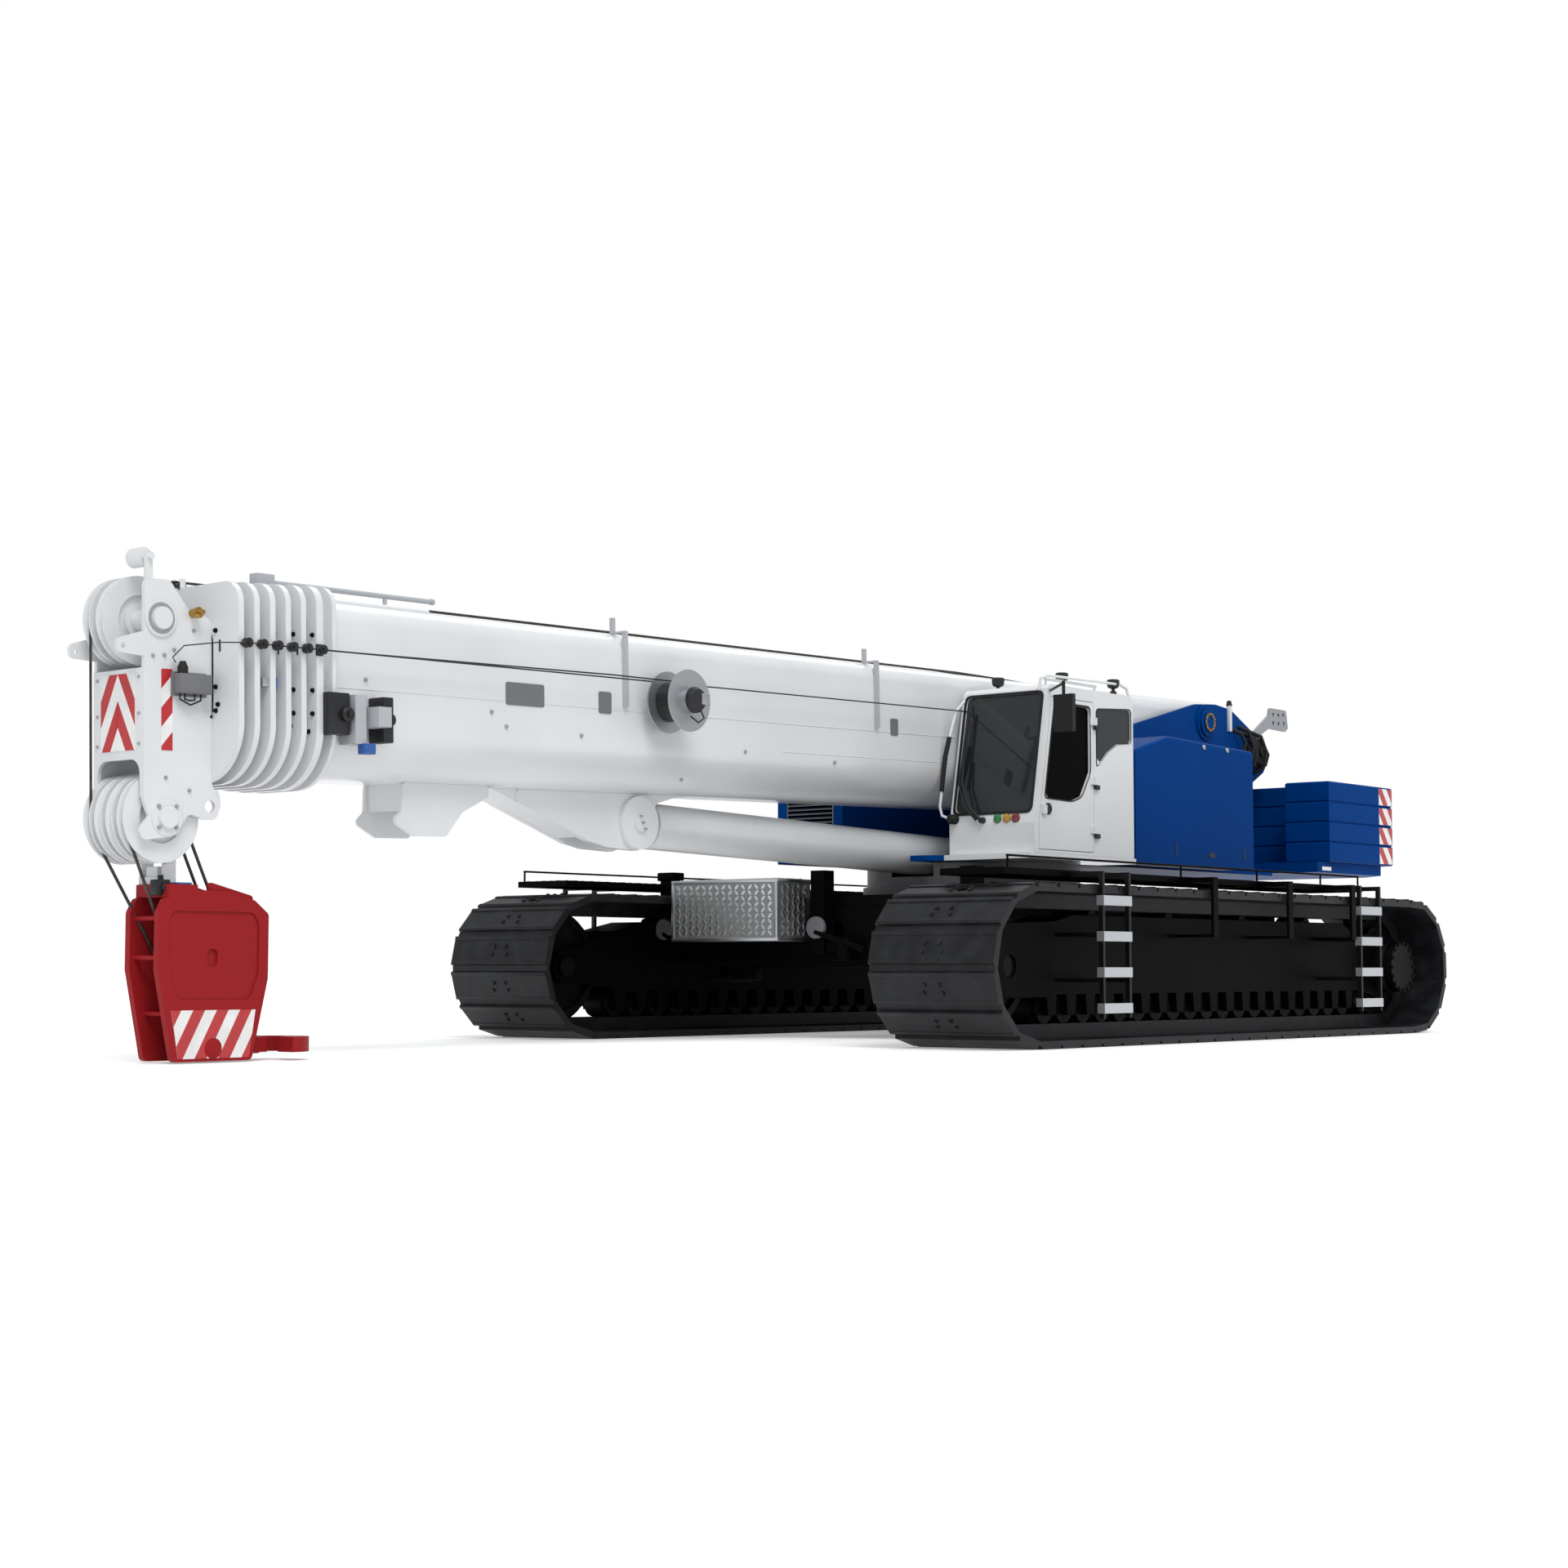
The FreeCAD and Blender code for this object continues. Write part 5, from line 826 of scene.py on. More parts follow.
class CRANE_OT_cab_fittings(Step, bpy.types.Operator):
    """Lamps, wiper, gaskets, work lights and grab rails of the cab"""
    bl_idname = "crane.cab_fittings"
    bl_label = "Cab Fittings"

    def make(self, sizes, paint):
        for name, y in (("green", 1.09), ("amber", 1.19), ("maroon", 1.285)):
            profile = [(-0.004, 0.042), (0.006, 0.042), (0.007, 0.037), (0.014, 0.033), (0.020, 0.020),
                       (0.0215, 0.002)]
            form = Form().lathe(slew(1.180, y, 1.975), X_AXIS, profile)
            form.piece("front_lamp_" + name, "superstructure", name)
        form = Form().lathe(slew(0.96, CAB_OUT_Y, 2.06), ACROSS,
                            [(-0.004, 0.052), (0.010, 0.052), (0.016, 0.044), (0.012, 0.030),
                             (0.008, 0.004)], 28)
        form.piece("door_handle_cup", "cab_door", "plastic")
        form = Form()
        for x, y in WORK_LIGHTS:
            form.lathe(slew(x, y, CAB_TOP - 0.002), UP, [(0, 0.035), (0.045, 0.030), (0.05, 0.016),
                                                         (0.075, 0.016)], 14)
            form.lathe(slew(x, y, CAB_TOP + 0.07), UP, [(0, 0.030), (0.012, 0.052), (0.05, 0.060),
                                                        (0.075, 0.060), (0.085, 0.050)], 20)
        form.piece("roof_work_lights", "superstructure", "plastic")
        # windscreen wiper: two arms and a parked blade
        form = Form()
        foot = slew(1.185, 0.93, 1.965)
        form.lathe(foot, X_AXIS, [(-0.008, 0.030), (0.035, 0.026), (0.042, 0.012)], 14)
        form.lathe(foot + Vector((0, -0.07, 0.03)), X_AXIS, [(-0.008, 0.022), (0.03, 0.018), (0.036, 0.010)],
                   14)
        for shift, radius in ((0.0, 0.012), (-0.055, 0.008)):
            form.tube([foot + Vector((0.03, shift, 0)), slew(1.215, 0.80 + shift, 2.10),
                       slew(1.185, 0.705 + shift * 0.6, 2.30), slew(1.13, 0.690 + shift * 0.3, 2.55)], radius)
        form.tube([slew(1.165, 0.672, 2.28), slew(1.13, 0.672, 2.50), slew(1.035, 0.680, 2.98)], 0.013)
        form.piece("windscreen_wiper", "superstructure", "plastic")
        # white rails at the cab's front corner, with a black sleeve, and along the near edge of the roof
        form = Form()
        for line, radius in ((((1.16, 0.60, 1.97), (1.24, 0.52, 2.02), (1.25, 0.505, 2.10),
                               (1.22, 0.55, 2.60), (1.12, 0.60, 2.98), (1.02, 0.62, 3.08)), 0.014),
                             (((0.98, 1.41, 3.13), (0.96, 1.42, 3.24), (0.86, 1.42, 3.275),
                               (-0.38, 1.42, 3.30), (-0.50, 1.42, 3.27), (-0.545, 1.43, 3.16),
                               (-0.545, 1.44, 2.80), (-0.50, 1.44, 2.74)), 0.013)):
            form.tube([slew(*p) for p in line], radius, 10)
        form.piece("front_grab_rail", "superstructure", "cab_white")
        form = Form().tube([slew(1.243, 0.518, 2.24), slew(1.222, 0.547, 2.56), slew(1.185, 0.568, 2.74)],
                           0.022, 10)
        form.lathe(slew(1.185, 0.62, 1.985), X_AXIS, [(-0.01, 0.045), (0.06, 0.045), (0.075, 0.032)], 18)
        form.piece("front_grab_sleeve", "superstructure", "rubber")

        # black gaskets round the windscreen and the side windows
        def screen(y, z):
            """A point on the leaning windscreen, 1 mm proud of it."""
            return slew(1.180 - CAB_LEAN * max(0.0, z - 1.930) / 1.220 + 0.001, y, z)

        inner = rounded_ring(oblong(0.61, 1.425, 2.04, 3.11), 0.055)
        outer = rounded_ring(oblong(0.585, 1.45, 2.015, 3.135), 0.07)
        form = Form().band([screen(*p) for p in inner], [screen(*p) for p in outer], X_AXIS * 0.006)
        form.piece("windscreen_gasket", "superstructure", "rubber")
        for name, body, corners in (("door", "cab_door", DOOR_GLASS), ("side", "superstructure", SIDE_GLASS)):
            mid_x, mid_z = (sum(p[i] for p in corners) / len(corners) for i in (0, 1))
            wide = [(mid_x + (x - mid_x) * 1.035, mid_z + (z - mid_z) * 1.035) for x, z in corners]
            rings = [[slew(x, CAB_OUT_Y + PROUD, z) for x, z in rounded_ring(ring, radius)]
                     for ring, radius in ((corners, 0.05), (wide, 0.055))]
            Form().band(*rings, ACROSS * 0.004).piece(name + "_window_gasket", body, "rubber")


class CRANE_OT_seat(Step, bpy.types.Operator):
    """The operator's seat: cushions, arm rests and base"""
    bl_idname = "crane.seat"
    bl_label = "Operator's Seat"

    def make(self, sizes, paint):
        low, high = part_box("operator_seat")
        x, mid, floor = low.x, (low.y + high.y) / 2, low.z
        # the cushion and the back: middle, half sizes along x, y, z, and which way is the crown
        made = []
        for name, centre, half, crown, lean in (
                ("seat_cushion", (x + 0.41, mid, floor + 0.386), (0.262, 0.242, 0.054), 2, 0.0),
                ("seat_back", (x + 0.095, mid, floor + 0.785), (0.056, 0.225, 0.355), 0, 0.12)):
            made.append(cushion(name, Vector(centre), Vector(half), crown, lean))
        base = Form().slab((x + 0.17, mid - 0.20, floor), (x + 0.60, mid + 0.20, floor + 0.06), 0.012)
        for i in range(7):
            base.lathe((x + 0.385, mid, floor + 0.06 + i * 0.034), UP,
                       [(0, 0.13), (0.010, 0.15), (0.024, 0.15), (0.034, 0.13)], 28)
        base.slab((x + 0.15, mid - 0.22, floor + 0.298), (x + 0.66, mid + 0.22, floor + 0.332), 0.012)
        base.piece("seat_base", "superstructure", "console")
        # each arm rest is a pad over its bracket: x, y from the middle, z, and bevel
        rests = Form()
        for s in (1, -1):
            for x0, x1, y, z0, z1, bevel in ((0.17, 0.67, 0.33, 0.525, 0.595, 0.02),
                                             (0.27, 0.55, 0.27, 0.435, 0.53, 0.012)):
                rests.slab((x + x0, mid + s * y - 0.05, floor + z0), (x + x1, mid + s * y + 0.05, floor + z1),
                           bevel)
        rests.piece("seat_arm_rests", "superstructure", "plastic")
        for one in made:
            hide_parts("operator_seat")


class CRANE_OT_house_fittings(Step, bpy.types.Operator):
    """Latches, lifting eyes, reflector, pin ring, beacon, winch drive and hoses of the superstructure"""
    bl_idname = "crane.house_fittings"
    bl_label = "House Fittings"

    def make(self, sizes, paint):
        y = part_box("house_left")[1].y
        form = Form()
        for x, width, height in ((-1.28, 0.012, 0.13), (-1.96, 0.055, 0.05), (-2.61, 0.012, 0.13)):
            form.slab(slew(x - width, y - 0.001, 1.72), slew(x + width, y + 0.004, 1.72 + height), 0.003)
        form.piece("house_latches", "superstructure", "plastic")
        form = Form()
        for x in (-1.82, -2.28):
            form.lathe(slew(x, y + 0.001, 2.80), ACROSS, [(-0.002, 0.026), (0.010, 0.026), (0.018, 0.018)],
                       16)
        form.piece("house_eyes", "superstructure", "zinc")
        form = Form().slab(slew(-4.18, 1.641, 1.655), slew(-3.98, 1.645, 1.695), 0.002)
        form.piece("tray_reflector", "superstructure", "film_white")
        # retaining ring of the boom foot pin, on the near plate
        face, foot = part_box("boom_pin")[1].y, (FOOT.x, FOOT.z)
        inner, outer = (arc(foot, radius, 0, 345, 23, lambda x, z: Vector((x, face + PROUD, z)))
                        for radius in (0.074, 0.098))
        form = Form().band(inner, outer, ACROSS * 0.006)
        form.bolts(arc(foot, 0.086, 22.5, 337.5, 7, lambda x, z: Vector((x, face + 0.006, z))), ACROSS, 0.020)
        form.piece("foot_pin_ring", "superstructure", "brass")
        # beacon post on the near boom-foot plate
        form = Form().slab(slew(-3.90, SIDE_OUT_Y - 0.01, 3.16), slew(-3.85, SIDE_OUT_Y + 0.035, 3.44), 0.006)
        form.piece("beacon_post", "superstructure", "cab_white")
        form = Form().lathe(slew(-3.875, SIDE_OUT_Y + 0.012, 3.4395), UP,
                            [(0, 0.034), (0.012, 0.034), (0.016, 0.028), (0.042, 0.026), (0.054, 0.014)], 18)
        form.piece("rear_beacon", "superstructure", "plastic")
        # winch drive and its hoses beside the near plate
        form = Form()
        for k, (x, foot, top, out) in enumerate(WINCH_HOSES):
            form.tube([slew(x, 0.60, foot), slew(x - 0.03, SIDE_OUT_Y + out * 0.8, foot + 0.06),
                       slew(x - 0.05, SIDE_OUT_Y + out, (foot + top) / 2),
                       slew(x - 0.01, SIDE_OUT_Y + out * 0.7, top - 0.06), slew(x + 0.06, 0.60, top)],
                      0.020 + 0.003 * (k % 3))
        form.lathe(slew(-4.42, 0.595, 2.98), ACROSS, [(0, 0.17), (0.06, 0.17), (0.07, 0.15), (0.11, 0.14),
                                                     (0.12, 0.06), (0.15, 0.06)], 28)
        form.slab(slew(-4.26, SIDE_OUT_Y + PROUD, 2.72), slew(-4.02, 0.70, 2.94), 0.015)
        form.piece("winch_drive", "superstructure", "rubber")


class CRANE_OT_boom_fittings(Step, bpy.types.Operator):
    """Patches, boxes, rings, bolts and guides on the boom and its head"""
    bl_idname = "crane.boom_fittings"
    bl_label = "Boom Fittings"

    def make(self, sizes, paint):
        near, side = HEAD_HALF_Y, BOOM_SIDE_Y + PROUD
        # grey wear patches on the boom's side: u, v, half length, half height
        form = Form()
        for u, v, a, b in ((9.95, -0.30, 0.20, 0.085), (9.08, -0.31, 0.07, 0.085),
                           (5.33, -0.31, 0.055, 0.075)):
            ring = rounded_ring([(u + a, v - b), (u + a, v + b), (u - a, v + b), (u - a, v - b)], 0.02)
            form.prism([boom(p, side, q) for p, q in ring], ACROSS * 0.006)
        form.piece("boom_side_patches", "boom", "grey_steel")
        form = Form().boom_slab((12.74, 13.0), (near + PROUD, near + 0.10), (-0.46, -0.33), 0.008)
        form.boom_slab((12.73, 13.01), (near + PROUD, near + 0.02), (-0.475, -0.315), 0.003)
        form.piece("head_junction_box", "tele_5", "grey_steel")
        form = Form().lathe(boom(12.95, near + 0.055, -0.332), UPWARD,
                            [(0, 0.035), (0.05, 0.035), (0.06, 0.028), (0.085, 0.02)], 18)
        for u0, u1, drop in ((12.97, 12.80, -0.535), (12.93, 12.85, -0.505)):
            form.tube([boom(u, near + 0.05, v) for u, v in ((u0, -0.455), (u0, -0.50), ((u0 + u1) / 2, drop),
                                                            (u1, -0.50), (u1, -0.455))], 0.006)
        form.piece("head_box_gland", "tele_5", "rubber")
        form = Form().lathe(boom(12.83, near, 0.085), ACROSS,
                            [(-0.002, 0.03), (0.05, 0.03), (0.052, 0.038), (0.075, 0.038), (0.078, 0.016),
                             (0.12, 0.016)], 18)
        form.piece("head_swivel", "tele_5", "brass")
        # ring round the upper shaft's cap, and the four bolts of the lower shaft's
        inner, outer = (arc(UPPER_SHAFT, radius, 0, 345, 23, lambda u, v: boom(u, BOSS_Y + PROUD, v))
                        for radius in (0.083, 0.104))
        Form().band(inner, outer, ACROSS * 0.004).piece("upper_shaft_ring", "tele_5", "zinc")
        places = arc(LOWER_SHAFT, 0.098, 45, 315, 3, lambda u, v: boom(u, BOSS_Y, v))
        Form().bolts(places, ACROSS, 0.026).piece("lower_shaft_bolts", "tele_5", "zinc")
        form = Form().bolts([boom(u, near, v) for u, v in HEAD_BOLTS], ACROSS, 0.024)
        places = [boom(HEAD_FRONT_U, y, v) for y in (0.225, -0.225) for v in (-0.36, -0.60, -0.80)]
        form.bolts(places, ALONG, 0.020)
        form.piece("head_bolts", "tele_5", "zinc")
        # bolt heads round the front of every collar, in dark steel
        for k, u in enumerate(COLLAR_U):
            shrink = COLLAR_STEP * k
            places = [boom(u, s * (y + shift_y * shrink), v + shift_v * shrink)
                      for y, v, shift_y, shift_v in COLLAR_BOLTS for s in (1, -1)]
            Form().bolts(places, ALONG, 0.030).piece("collar_bolts_%d" % k, section(k), "roller")
        # pole and clamps on top of the boom, and the strip beside them
        form = Form().tube([boom(10.15, -0.30, 0.455), boom(11.72, -0.30, 0.455)], 0.020, 12)
        form.lathe(boom(10.13, -0.30, 0.455), ALONG, [(0, 0.024), (0.03, 0.024)], 14)
        form.boom_slab((11.70, 11.86), (-0.345, -0.255), (0.40, 0.51), 0.006)
        for u in (10.62, 11.78):
            form.boom_slab((u - 0.012, u + 0.012), (-0.312, -0.288), (0.249, 0.45), 0.002)
        form.piece("top_pole", "boom", "pale_steel")
        form = Form().tube([boom(10.77, 0.33, 0.262), boom(11.86, 0.33, 0.262)], 0.022, 12)
        form.piece("top_strip", "boom", "white")
        # black housings and blue plugs of the sensors, beside the base's collar and on the third section
        form = Form().boom_slab((11.78, 11.975), (side, 0.640), (-0.70, -0.41), 0.010)
        form.lathe(boom(11.82, 0.640, -0.56), ACROSS, [(-0.003, 0.052), (0.03, 0.052), (0.045, 0.040),
                                                      (0.046, 0.022), (0.06, 0.022)], 20)
        form.boom_slab((11.40, 11.495), (side, 0.66), (-0.74, -0.42), 0.008)
        form.lathe(boom(11.45, 0.66, -0.58), ACROSS, [(-0.003, 0.045), (0.03, 0.045), (0.04, 0.034)], 18)
        form.piece("sensor_housings", "boom", "plastic")
        for name, body, finish, u, y, v, bevel in (
                ("sensor_plug", "boom", "socket_blue", (11.60, 11.70), (0.62, 0.70), (-0.83, -0.755), 0.006),
                ("collar_sensor", "tele_3", "zinc", (12.36, 12.47), (0.50, 0.556), (-0.40, -0.34), 0.006),
                ("collar_sensor_plug", "tele_3", "socket_blue", (12.345, 12.36), (0.50, 0.556),
                 (-0.41, -0.33), 0.003)):
            Form().boom_slab(u, y, v, bevel).piece(name, body, finish)
        # hub of the cable reel, in black, with a grey cap, and the cable wound on it
        form = Form().lathe(boom(REEL_U, 0.89, REEL_V), ACROSS,
                            [(-0.003, 0.104), (0.02, 0.104), (0.05, 0.085), (0.06, 0.05)], 28)
        form.tube([boom(8.42, 0.90, -0.34), boom(8.40, 0.93, -0.42), boom(8.47, 0.93, -0.46),
                   boom(8.53, 0.90, -0.41)], 0.007)
        form.piece("reel_hub", "boom", "plastic")
        corner = boom(8.36, 0.90, -0.32)
        Form().slab(corner, corner + Vector((0.09, 0.06, 0.09)), 0.008).piece("reel_hub_cap", "boom", "zinc")
        form = Form().lathe(boom(REEL_U, 0.625, REEL_V), ACROSS, [(0, REEL_R), (0.204, REEL_R)], 40)
        form.piece("reel_cable", "boom", "cable")
        # weld lines along the side of the base, half sunk in it, and small bolts
        form = Form()
        for end, v, radius in ((11.9, -0.36, 0.0045), (6.9, -0.60, 0.0035)):
            form.tube([boom(0.9, BOOM_SIDE_Y - PROUD, v), boom(end, BOOM_SIDE_Y - PROUD, v)], radius, 6)
        form.piece("boom_side_welds", "boom", "white")
        form = Form().bolts([boom(u, BOOM_SIDE_Y, v) for u, v in SIDE_BOLTS], ACROSS, 0.028)
        form.piece("boom_side_bolts", "boom", "zinc")
        # grease nipples on the luffing pin
        form = Form()
        pin = boom(LUFF_PIN[0], 0.224, LUFF_PIN[1])
        for d in (-0.05, 0.0, 0.05):
            form.lathe(pin + Vector((d * 0.5, 0, d)), ACROSS, [(0, 0.010), (0.02, 0.010), (0.03, 0.006)], 10)
        form.piece("luff_pin_nipples", "boom", "zinc")


class CRANE_OT_track_bolts(Step, bpy.types.Operator):
    """Bolt heads, a black disc of painted shade in each mud hole, and two low ribs on every track shoe"""
    bl_idname = "crane.track_bolts"
    bl_label = "Track Shoe Details"

    def make(self, sizes, paint):
        for tag in ("l", "r"):
            low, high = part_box("track_loop_" + tag)
            mid, half = (low + high) / 2, (high - low) / 2
            reach, r = half.x - half.z, half.z - SHOE_FACE
            turn = pi * r
            length = 4 * reach + 2 * turn
            bolts, ribs, shade_discs = Form(), Form(), Form()

            def spot(s):
                """Point and outward way on the chain line, s metres round it."""
                s %= length
                end = -1 if s < 2 * reach + turn else 1      # the bottom and the rear, then the rest
                s %= 2 * reach + turn
                if s < 2 * reach:
                    return Vector((mid.x + end * (s - reach), 0, mid.z + end * r)), UP * end
                a = (s - 2 * reach) / r
                out = Vector((sin(a), 0, cos(a))) * end
                return Vector((mid.x + end * reach, 0, mid.z)) + out * r, out

            for i in range(SHOES):
                a, b = spot(i * length / SHOES)[0], spot((i + 1) * length / SHOES)[0]
                way = (b - a).normalized()
                out = Vector((way.z, 0, -way.x))
                if out.dot(spot((i + 0.5) * length / SHOES)[1]) < 0:
                    out = -out
                middle = (a + b) / 2 + out * (SHOE_FACE - PROUD) + ACROSS * mid.y
                if middle.z + out.z * 0.02 < 0.05:
                    continue                         # it stands on the ground
                bolts.bolts([middle + way * d + ACROSS * y for y, d in SHOE_BOLTS], out, sizes.shoe_bolt)
                # a thin black disc on each shoe: painted shade where the mud hole is
                shade_discs.lathe(middle, out, [(0, 0.052), (0.0030, 0.052), (0.0035, 0.046)], 6)
                for d, wide, rise in SHOE_RIBS:
                    ring = [middle + way * (d + along * wide) + ACROSS * half.y * 0.998 * s
                            for s, along in ((-1, -1), (-1, 0.6), (1, 0.6), (1, -1))]
                    ribs.prism(ring, out * rise, 0.004)
            bolts.piece("track_bolts_" + tag, "carbody", "shoe")
            ribs.piece("track_ribs_" + tag, "carbody", "shoe")
            shade_discs.piece("track_hole_shade_" + tag, "carbody", "painted_hole_shade")


class CRANE_OT_undercarriage_fittings(Step, bpy.types.Operator):
    """Studs and frame of the step box, the jacks' post, discs and arms, hub bolts, walkway studs"""
    bl_idname = "crane.undercarriage_fittings"
    bl_label = "Undercarriage Fittings"

    def make(self, sizes, paint):
        low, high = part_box("step_box")
        form = Form()

        def pattern(along, across, out):
            """Raised bars, pointed at both ends, in a tread pattern on one face of the step box."""
            edge = 0.045
            corner = low + (along + across) * edge + out * (high - low).dot(out)
            length, width = (high - low).dot(along) - 2 * edge, (high - low).dot(across) - 2 * edge
            rows, columns = max(2, round(width / 0.052)), max(2, round(length / 0.080))
            for i in range(columns):
                for j in range(rows):
                    at = corner + along * length * (i + 0.5) / columns + across * width * (j + 0.5) / rows
                    turn = radians(45 if (i + j) % 2 else -45)
                    a = (along * cos(turn) + across * sin(turn)) * 0.033
                    b = (across * cos(turn) - along * sin(turn)) * 0.0125
                    ring = [a * p + b * q for p, q in ((-1, 0), (-0.4, 1), (0.4, 1), (1, 0), (0.4, -1),
                                                       (-0.4, -1))]
                    form.prism([at - out * PROUD + p for p in ring], out * 0.0085)

        pattern(ACROSS, UP, X_AXIS)
        pattern(X_AXIS, UP, ACROSS)
        pattern(X_AXIS, ACROSS, UP)
        # the studs' lighter finish is a painted highlight
        form.piece("step_box_studs", "carbody", "stud")
        form = Form()
        for z in (low.z + 0.015, high.z - 0.015):
            form.slab((high.x - 0.002, low.y, z - 0.015), (high.x + 0.008, high.y + 0.006, z + 0.015), 0.002)
            form.slab((low.x, high.y - 0.002, z - 0.015), (high.x, high.y + 0.008, z + 0.015), 0.002)
        for y in (low.y + 0.015, high.y - 0.015):
            form.slab((high.x - 0.002, y - 0.015, low.z), (high.x + 0.007, y + 0.015, high.z), 0.002)
        form.piece("step_box_frame", "carbody", "rung")
        # far jack post, and the discs and slanted arms that carry the jacks' pads
        form = Form().slab(slew(1.9503, -2.16, 0.76), slew(2.10, -2.01, 1.53), 0.012)
        form.slab(slew(1.9503, -2.19, 1.46), slew(2.11, -1.98, 1.54), 0.012)
        form.piece("far_jack_post", "carbody", "black")
        discs, arms = Form(), Form()
        for y, foot in ((-2.085, (-1.38, 0.58)), (-0.25, (0.32, 0.80))):
            discs.lathe(slew(2.0995, y, 1.00), X_AXIS, [(0, 0.10), (0.035, 0.10), (0.042, 0.092)], 28)
            start, end = slew(2.125, y, 0.96), slew(2.145, *foot)
            arms.tube([start, (start + end) / 2, end], 0.026, 10)
        discs.piece("jack_discs", "carbody", "grey_steel")
        arms.slab(slew(2.04, -1.46, 0.515), slew(2.32, -1.06, 0.56), 0.012)
        arms.tube([slew(2.145, -1.38, 0.545), slew(2.145, -1.38, 0.60)], 0.05, 12)
        arms.slab(slew(1.86, -1.44, 0.52), slew(2.06, -1.10, 0.66), 0.010)
        arms.piece("jack_arms", "carbody", "black")
        for tag, s in (("l", 1), ("r", -1)):
            low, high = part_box("sprocket_" + tag)
            face = (high.y if s > 0 else low.y) - s * PROUD
            hub = middle("sprocket_" + tag)
            places = arc((hub.x, hub.z), 0.235, 0, 337.5, 15, lambda x, z: Vector((x, face, z)))
            Form().bolts(places, ACROSS * s, 0.034).piece("hub_bolts_" + tag, "carbody", "roller")
        # anti-slip bars on both walkways
        for tag, s in (("l", 1), ("r", -1)):
            low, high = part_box("walkway_" + tag)
            rows, columns = 6, 58
            form = Form()
            for i in range(columns):
                for j in range(rows):
                    at = Vector((low.x + 0.06 + i * (high.x - low.x - 0.12) / (columns - 1),
                                 s * (WALKWAY_IN_Y + 0.06 + 0.095 * j), DECK_TOP - PROUD))
                    turn = radians(45 if (i + j) % 2 else -45)
                    a = Vector((cos(turn), sin(turn), 0)) * 0.026
                    b = Vector((-sin(turn), cos(turn), 0)) * 0.008
                    form.prism([at - a, at + b, at + a, at - b], (0, 0, 0.005))
            form.piece("walkway_studs_" + tag, "carbody", "black")


class CRANE_OT_winch_rope(Step, bpy.types.Operator):
    """The turns of rope on the winch drum"""
    bl_idname = "crane.winch_rope"
    bl_label = "Winch Rope"

    def make(self, sizes, paint):
        low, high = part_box("winch_drum")
        centre, radius = middle("winch_drum"), (high.z - low.z) / 2 - 0.055
        r, turns, steps = sizes.hoist_rope / 2, sizes.rope_turns, 24
        half = turns * r
        line = []
        for i in range(turns * steps + 1):
            a = 2 * pi * i / steps
            y = -half + 2 * half * i / (turns * steps)
            line.append(centre + Vector((radius * cos(a), y, radius * sin(a))))
        Form().tube(line, r, 6).piece("winch_rope", "winch_drum", "rope")


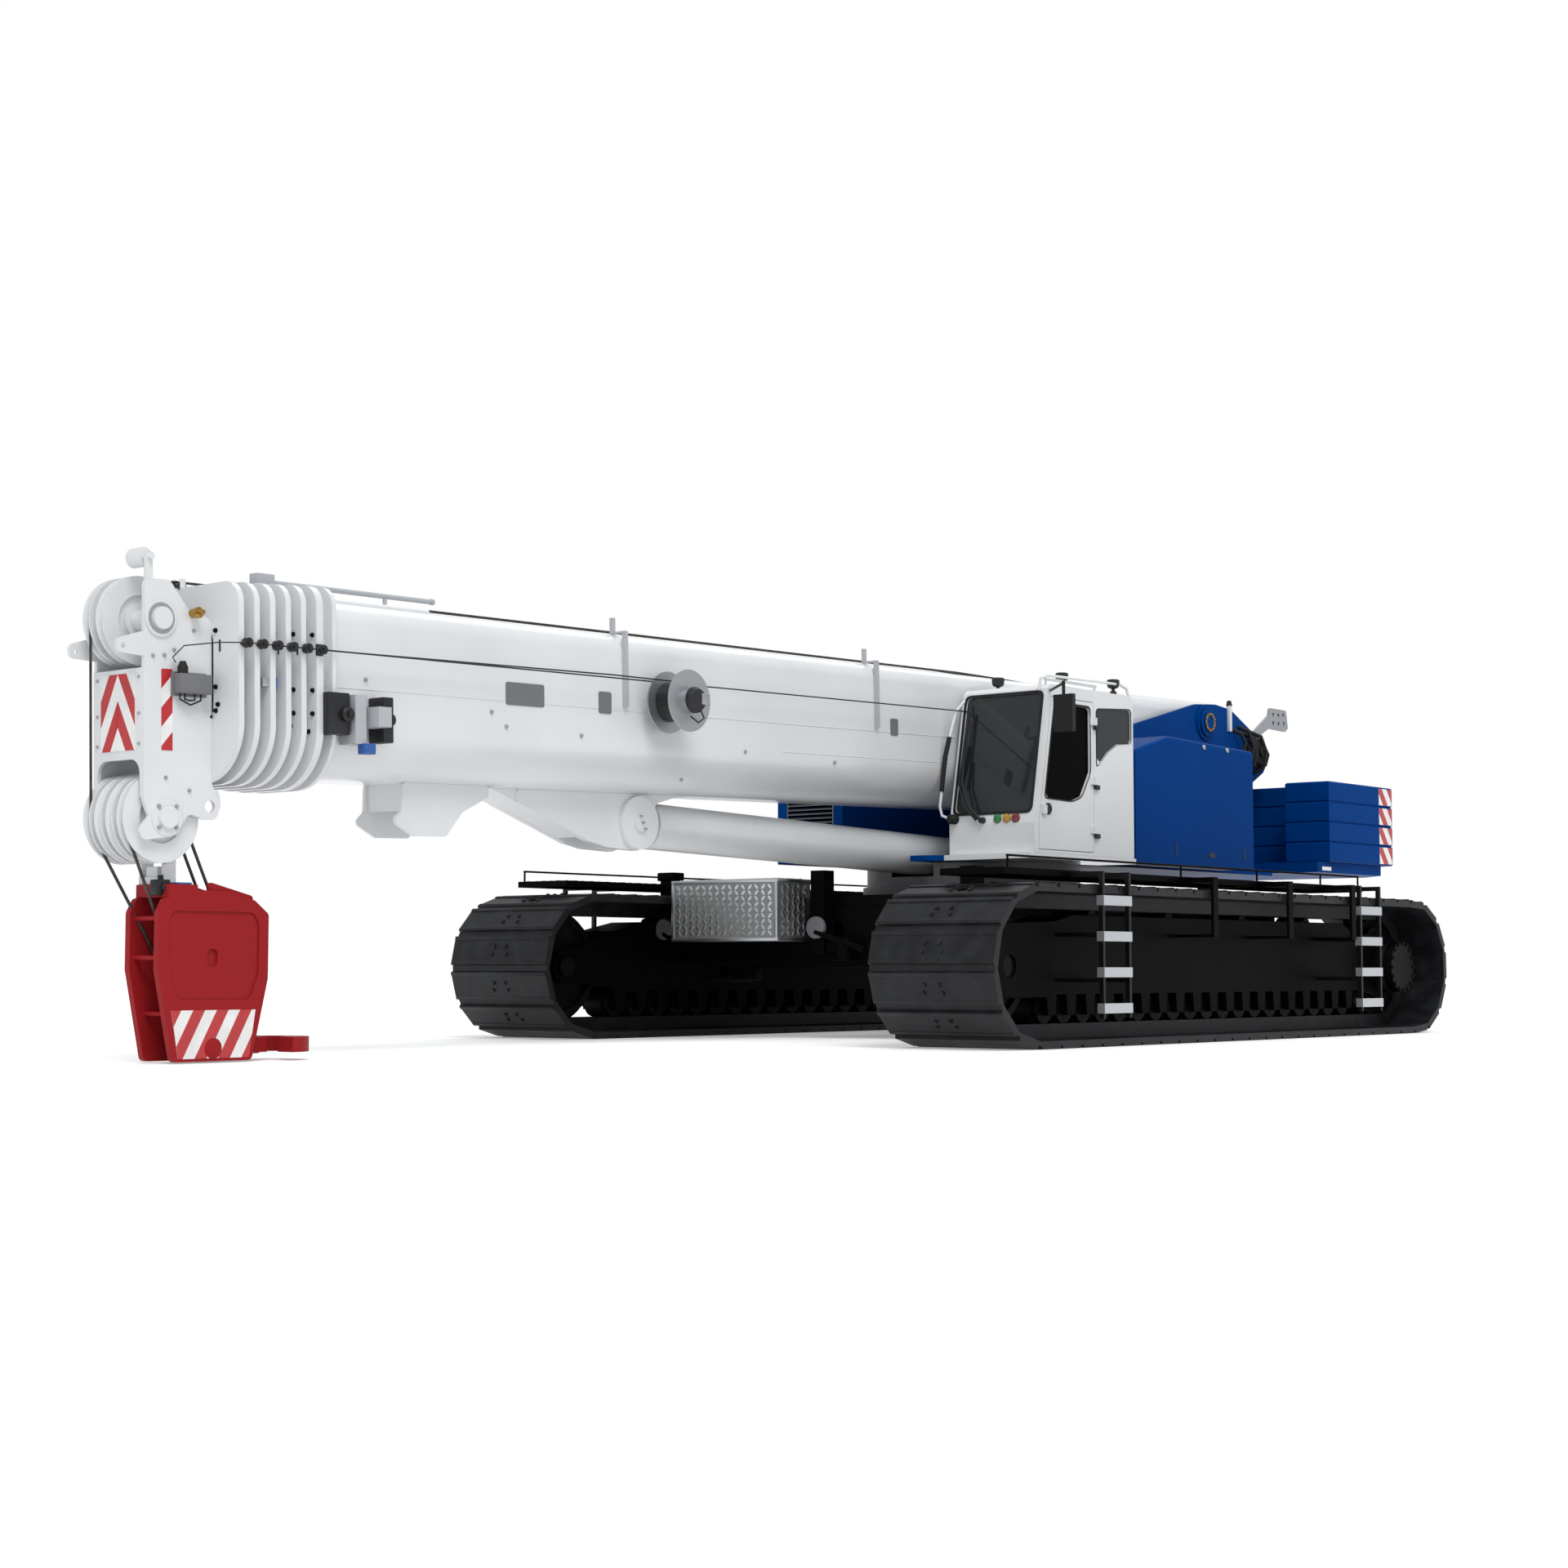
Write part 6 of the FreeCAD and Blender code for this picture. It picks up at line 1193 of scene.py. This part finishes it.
class CRANE_OT_studio(Step, bpy.types.Operator):
    """Pale floor, soft light and the camera at the photograph's angle"""
    bl_idname = "crane.studio"
    bl_label = "Studio"

    def make(self, sizes, paint):
        scene = bpy.context.scene
        corners = [(x, y, 0) for x, y in oblong(*(-sizes.floor_reach, sizes.floor_reach) * 2)]
        mesh = bpy.data.meshes.new("studio_floor")
        mesh.from_pydata(corners, [], [(0, 1, 2, 3)])
        floor = bpy.data.objects.new("studio_floor", mesh)
        scene.collection.objects.link(floor)
        # the floor is matt paper that camera and reflections also see lit from within
        made = bpy.data.materials.new("Seamless paper, matt white")
        made.use_nodes = True
        tree = made.node_tree
        tree.nodes.clear()
        path = add_node(tree, "ShaderNodeLightPath").outputs
        seen = add_node(tree, "ShaderNodeMath", {"operation": "MAXIMUM", 0: path["Is Camera Ray"],
                                                 1: path["Is Glossy Ray"]})
        noise = add_node(tree, "ShaderNodeTexNoise", {"Scale": 0.2, "Detail": 2.0}, Vector=place(tree))
        ramp = add_node(tree, "ShaderNodeValToRGB", Fac=noise.outputs[0])
        ramp.color_ramp.elements[0].color = (0.86, 0.86, 0.865, 1)
        ramp.color_ramp.elements[1].color = (0.88, 0.88, 0.885, 1)
        matt = add_node(tree, "ShaderNodeBsdfDiffuse", Color=ramp.outputs[0])
        share = add_node(tree, "ShaderNodeMath", {"operation": "MULTIPLY", 0: seen.outputs[0], 1: 0.28})
        lift = add_node(tree, "ShaderNodeEmission", {"Color": (1, 1, 1, 1)}, Strength=share.outputs[0])
        both = add_node(tree, "ShaderNodeAddShader", {0: matt.outputs[0], 1: lift.outputs[0]})
        add_node(tree, "ShaderNodeOutputMaterial", {0: both.outputs[0]})
        mesh.materials.append(made)

        # the dome lights the crane softly; camera and glass see plain white
        world = bpy.data.worlds.new("Studio dome")
        scene.world = world
        world.use_nodes = True
        tree = world.node_tree
        tree.nodes.clear()
        path = add_node(tree, "ShaderNodeLightPath").outputs
        seen = add_node(tree, "ShaderNodeMath", {"operation": "MAXIMUM", 0: path["Is Camera Ray"],
                                                 1: path["Is Transmission Ray"]})
        dome = add_node(tree, "ShaderNodeBackground", {"Color": (0.965, 0.98, 1.0, 1), "Strength": 0.62})
        sky = add_node(tree, "ShaderNodeBackground", {"Color": (1, 1, 1, 1), "Strength": 1.0})
        mix = add_node(tree, "ShaderNodeMixShader", {0: seen.outputs[0], 1: dome.outputs[0],
                                                     2: sky.outputs[0]})
        add_node(tree, "ShaderNodeOutputWorld", {0: mix.outputs[0]})

        # soft lamps: name, from, strength, spread in degrees
        for name, at, strength, spread in (("key_light", (14, 20, 30), 1.5, 28),
                                           ("rear_light", (-20, -8, 26), 0.5, 40)):
            light = bpy.data.lights.new(name, "SUN")
            light.energy, light.angle = strength, radians(spread)
            lamp = bpy.data.objects.new(name, light)
            lamp.location = at
            lamp.rotation_euler = Vector(at).to_track_quat("Z", "Y").to_euler()
            scene.collection.objects.link(lamp)

        data = bpy.data.cameras.new("photo_camera")
        data.sensor_width = SENSOR_MM
        data.lens = FOCAL_PIXELS / PICTURE_PIXELS * SENSOR_MM
        data.clip_start, data.clip_end = 0.5, 2000
        camera = bpy.data.objects.new("photo_camera", data)
        right, up = Vector(CAMERA_RIGHT).normalized(), Vector(CAMERA_UP).normalized()
        back = right.cross(up)
        turn = Matrix((right, up, back)).transposed().to_4x4()
        camera.matrix_world = Matrix.Translation(slew(*CAMERA_AT)) @ turn
        scene.collection.objects.link(camera)
        scene.camera = camera
        scene.view_settings.view_transform = "Standard"


STEPS = (CRANE_OT_paint, CRANE_OT_hoist_rope, CRANE_OT_signal_cable, CRANE_OT_stripes, CRANE_OT_hook_fittings,
         CRANE_OT_cab_fittings, CRANE_OT_seat, CRANE_OT_house_fittings, CRANE_OT_boom_fittings,
         CRANE_OT_track_bolts, CRANE_OT_undercarriage_fittings, CRANE_OT_winch_rope, CRANE_OT_studio)


class CRANE_PT_panel(bpy.types.Panel):
    """Lists the crane's steps, sizes and colours"""
    bl_idname = "CRANE_PT_panel"
    bl_label = "Crawler Crane"
    bl_space_type = "VIEW_3D"
    bl_region_type = "UI"
    bl_category = "Crane"

    def draw(self, context):
        for group in (context.scene.crane_sizes, context.scene.crane_paint):
            column = self.layout.column()
            for name in group.bl_rna.properties.keys():
                if name not in ("rna_type", "name"):
                    column.prop(group, name)
        for one in STEPS:
            self.layout.operator(one.bl_idname)


CLASSES = (CraneSizes, CranePaint, *STEPS, CRANE_PT_panel)


def register():
    for one in CLASSES:
        bpy.utils.register_class(one)
    bpy.types.Scene.crane_sizes = PointerProperty(type=CraneSizes)
    bpy.types.Scene.crane_paint = PointerProperty(type=CranePaint)


def unregister():
    del bpy.types.Scene.crane_paint
    del bpy.types.Scene.crane_sizes
    for one in reversed(CLASSES):
        bpy.utils.unregister_class(one)


def main():
    register()
    for one in STEPS:
        group, name = one.bl_idname.split(".")
        getattr(getattr(bpy.ops, group), name)()


if __name__ == "__main__":
    main()
